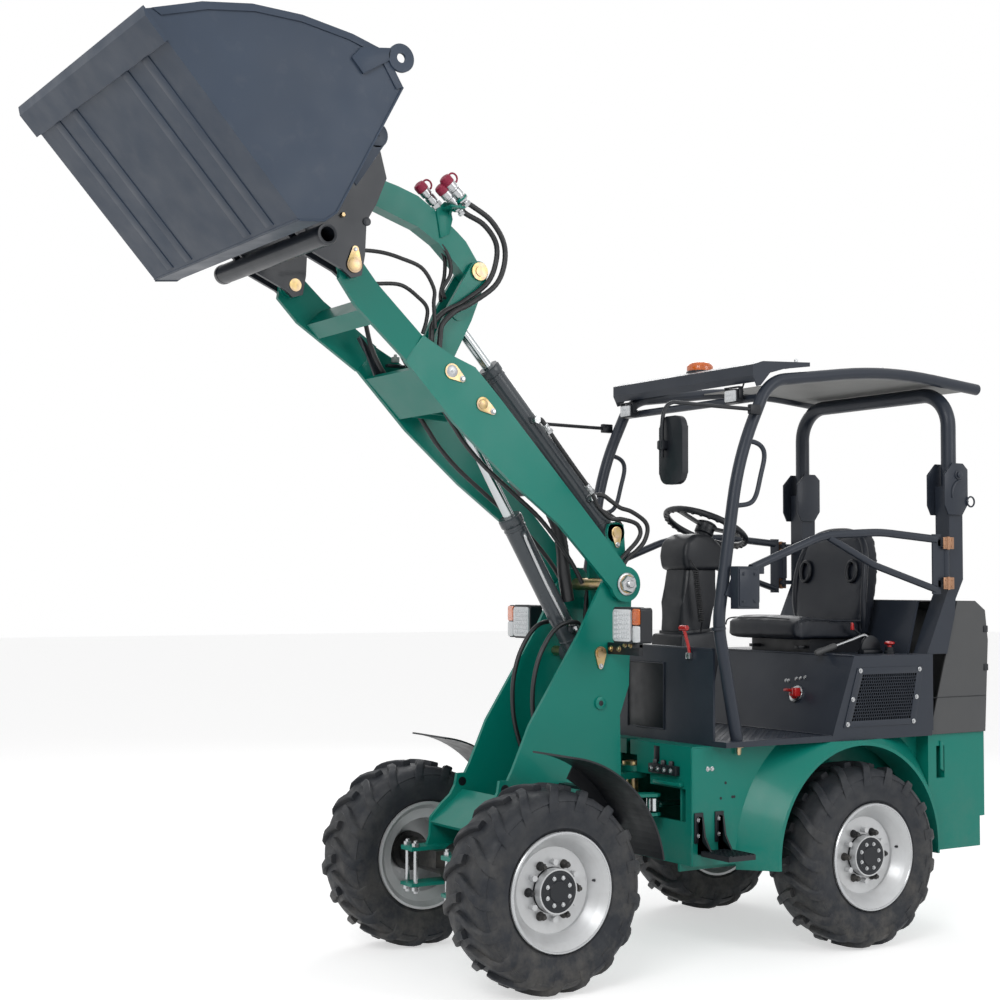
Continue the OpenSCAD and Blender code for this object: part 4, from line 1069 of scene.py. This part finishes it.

# thin black sheets, painted shade standing for the recesses in the cab's front panel and behind
# the seat box, then the panels' edges
p = Pile()
p.box((-118, 848.6, 900), (118, 850.5, 1166), 0.4)
p.prism("y", 2009, 2011, [(-200, 900), (200, 900), (200, 1000), (-200, 1000)])
p.make("cab_recess_shade", black, "rear")
p = Pile()
p.tube([(-124, 848, 896), (-124, 848, 1170), (124, 848, 1170), (124, 848, 896), (-60, 848, 896)],
       4, 8)
p.tube([(-438, 852, 1237), (0, 852, 1240), (438, 852, 1237)], 5, 8)
p.tube([(-516, 852, 868), (-516, 1415, 873), (-400, 1418, 874), (0, 1418, 874), (400, 1418, 874),
        (516, 1415, 873), (516, 852, 868)], 3.5, 8)
p.tube([(-516, 1546, 1200), (516, 1546, 1200)], 5, 8)
p.make("cab_edges", iron, "rear")
# tread plate of the cab's floor, bare under the console
TREAD = 37
p = Pile()
for i in range(26):
    for j in range(14):
        x, y = -470 + TREAD * i, 890 + TREAD * j
        if abs(x) < 130 and 930 < y < 1130:
            continue
        t = radians(45 if (i + j) % 2 else -45)
        c, s = cos(t), sin(t)
        p.prism("z", 871, 873.6, [(x + c * a - s * b, y + s * a + c * b)
                                  for a, b in ((-11, 0), (0, -3), (11, 0), (0, 3))])
p.make("floor_tread", iron, "rear")

# steps: raised grating, brackets and bolts
p = Pile()
for k in range(7):
    p.box((468, 776 + 20 * k, 444), (628, 782 + 20 * k, 448), 0.6)
for k in range(6):
    p.box((476 + 28 * k, 772, 443.5), (480 + 28 * k, 903, 446.5), 0.6)
for y in (785, 890):
    p.prism("y", y, y + 8, [
        (420, 424), (560, 424), (600, 436), (500, 446), (462, 500), (450, 575), (420, 575)], 1)
    p.box((419, y - 18, 470), (426, y + 26, 590), 1.5)
p.both().make("step_trim", black, "rear")
p = Pile()
for y in (789, 894):
    for z in (500, 562):
        p.bolt((426, y, z), LEFT, 9, 7)
for y in (838, 860):
    p.bolt((420, y, 760), LEFT, 7, 5)
# the valve block's screws
for k in range(4):
    p.bolt((190 + 42 * k, 731, 749), AHEAD, 8, 6)
p.make("rear_bolts", steel, "rear")
# valve block beside the pivot, with its ports, a thin black sheet over it painted as the shade of
# a slot, and panel studs
p = Pile()
p.box((165, 733, 730), (345, 757, 768), 3)
for k in range(3):
    p.lathe((200 + 52 * k, 745, 768), UP, [(11, 0), (11, 14), (8, 18)], HEX)
# painted shade: a thin black sheet standing for the dark inside of the slot
p.box((176, 755.6, 775), (212, 757.4, 838), 0.4)
for y, z in ((905, 640), (930, 700), (965, 642), (975, 642)):
    p.lathe((419, y, z), LEFT, [(6, 0), (6, 1.6), (0, 1.7)], 16)
p.make("valve_block_and_slot_shade", black, "rear")
p = Pile()
p.box((194, 735, 690), (370, 757, 704), 2)
p.both()
# weld beads and rolled edges of the frame, and the grip in its flank
for x in (-420, 420):
    p.tube([(x, 757, 384), (x, 757, 848)], 4, 8)
    p.tube([(x, 757, 848), (x, 2006, 848)], 3, 8)
p.prism("x", 488, 494, [(2080, 700), (2098, 690), (2098, 812), (2080, 822)], 1)
p.make("frame_beads", green, "rear")
# drain fitting under the cab's floor
p = Pile()
p.lathe((438, 985, 850), (0, 0, -1), [(16, 0), (16, 10), (9, 12), (9, 34), (6, 40)], HEX)
p.lathe((438, 985, 846), (0, 0, -1), [(20, 0), (20, 5)], 20)
p.make("floor_fitting", zinc, "rear")

# hood: parting line, side grips and rear vents
p = Pile()
for x in (-501, 501):
    p.tube([(x, 2012, 1010), (x, 2360, 1010)], 1.6, 6)
for z in (1120, 1290):
    for x in (-504, 494):
        p.box((x, 2350, z), (x + 10, 2378, z + 30), 3)
for k in range(9):
    z = 1000 + 22 * k
    y = 2358 + 22 * (z - 852) / 403
    p.box((-200, y - 1, z), (200, y + 1.5, z + 9), 0.8)
p.make("hood_trim", black, "hood")

# bolts of the visor and the roof, and the leads of the beacon and a work lamp
p = Pile()
for x in (-440, -220, 0, 220, 440):
    p.bolt((x, 1250, 2397), (0, -0.15, 0.99), 7, 5)
for y in (1300, 1800, 2250):
    for s in (-1, 1):
        p.lathe((s * 440, y, 2437 if y < 2000 else 2402), UP, [(8, -8), (8, 2), (5, 4)], 14)
p.make("roof_bolts", steel, "rear")
p = Pile()
p.bent([(20, 1160, 2418), (40, 1180, 2417), (50, 1220, 2416), (52, 1300, 2424)], 3.5, 8)
p.bent([(360, 1056, 2290), (360, 1075, 2310), (362, 1090, 2345), (380, 1110, 2372)], 3.5, 8)
p.make("lamp_leads", hose, "rear")

# --- stage ---

FLOOR_SIZE, FLOOR_GLOW = 80, 0.55
# strength of the world for the light that it gives and for the eye
WORLD_LIGHT, WORLD_SEEN = 0.45, 1.0


def seen_rays(tree):
    """1 for camera, glossy and transmission rays, and 0 for the rest."""
    path = tree.nodes.new("ShaderNodeLightPath")
    last = path.outputs["Is Camera Ray"]
    for name in ("Is Glossy Ray", "Is Transmission Ray"):
        top = tree.nodes.new("ShaderNodeMath")
        top.operation = "MAXIMUM"
        tree.links.new(last, top.inputs[0])
        tree.links.new(path.outputs[name], top.inputs[1])
        last = top.outputs[0]
    return last


bpy.ops.mesh.primitive_plane_add(size=FLOOR_SIZE, location=(0, 0, 0))
floor = bpy.context.object
floor.name = "floor"
ground = Shader("floor_paper", (0.80, 0.80, 0.80), 0.9, spec=0.1)
ground.set("Emission Color", (1, 1, 1, 1))
ground.link(map_range(ground.tree, seen_rays(ground.tree), 0.0, FLOOR_GLOW),
            ground.bsdf.inputs["Emission Strength"])
floor.data.materials.append(ground.mat)

world = bpy.data.worlds.new("studio")
bpy.context.scene.world = world
world.use_nodes = True
sky = world.node_tree
background = sky.nodes["Background"]
background.inputs["Color"].default_value = (1, 1, 1, 1)
sky.links.new(map_range(sky, seen_rays(sky), WORLD_LIGHT, WORLD_SEEN),
              background.inputs["Strength"])

# studio lamps: name, place, the point that it looks at, power
LAMP_SIZE = 3.5
LAMPS = [
    ("key", (4.5, -5.5, 5.5), (0, 0, 1.2), 235),
    ("side", (6.5, 3.0, 4.0), (0, 0, 1.2), 110),
    ("back", (-5.0, 4.0, 5.0), (0, 0, 1.5), 110),
]
for name, place, target, power in LAMPS:
    lamp = bpy.data.lights.new(name, "AREA")
    lamp.shape = "SQUARE"
    lamp.size = LAMP_SIZE
    lamp.energy = power
    obj = add(name, lamp)
    obj.location = place
    look = Vector(target) - Vector(place)
    obj.rotation_euler = look.to_track_quat("-Z", "Y").to_euler()
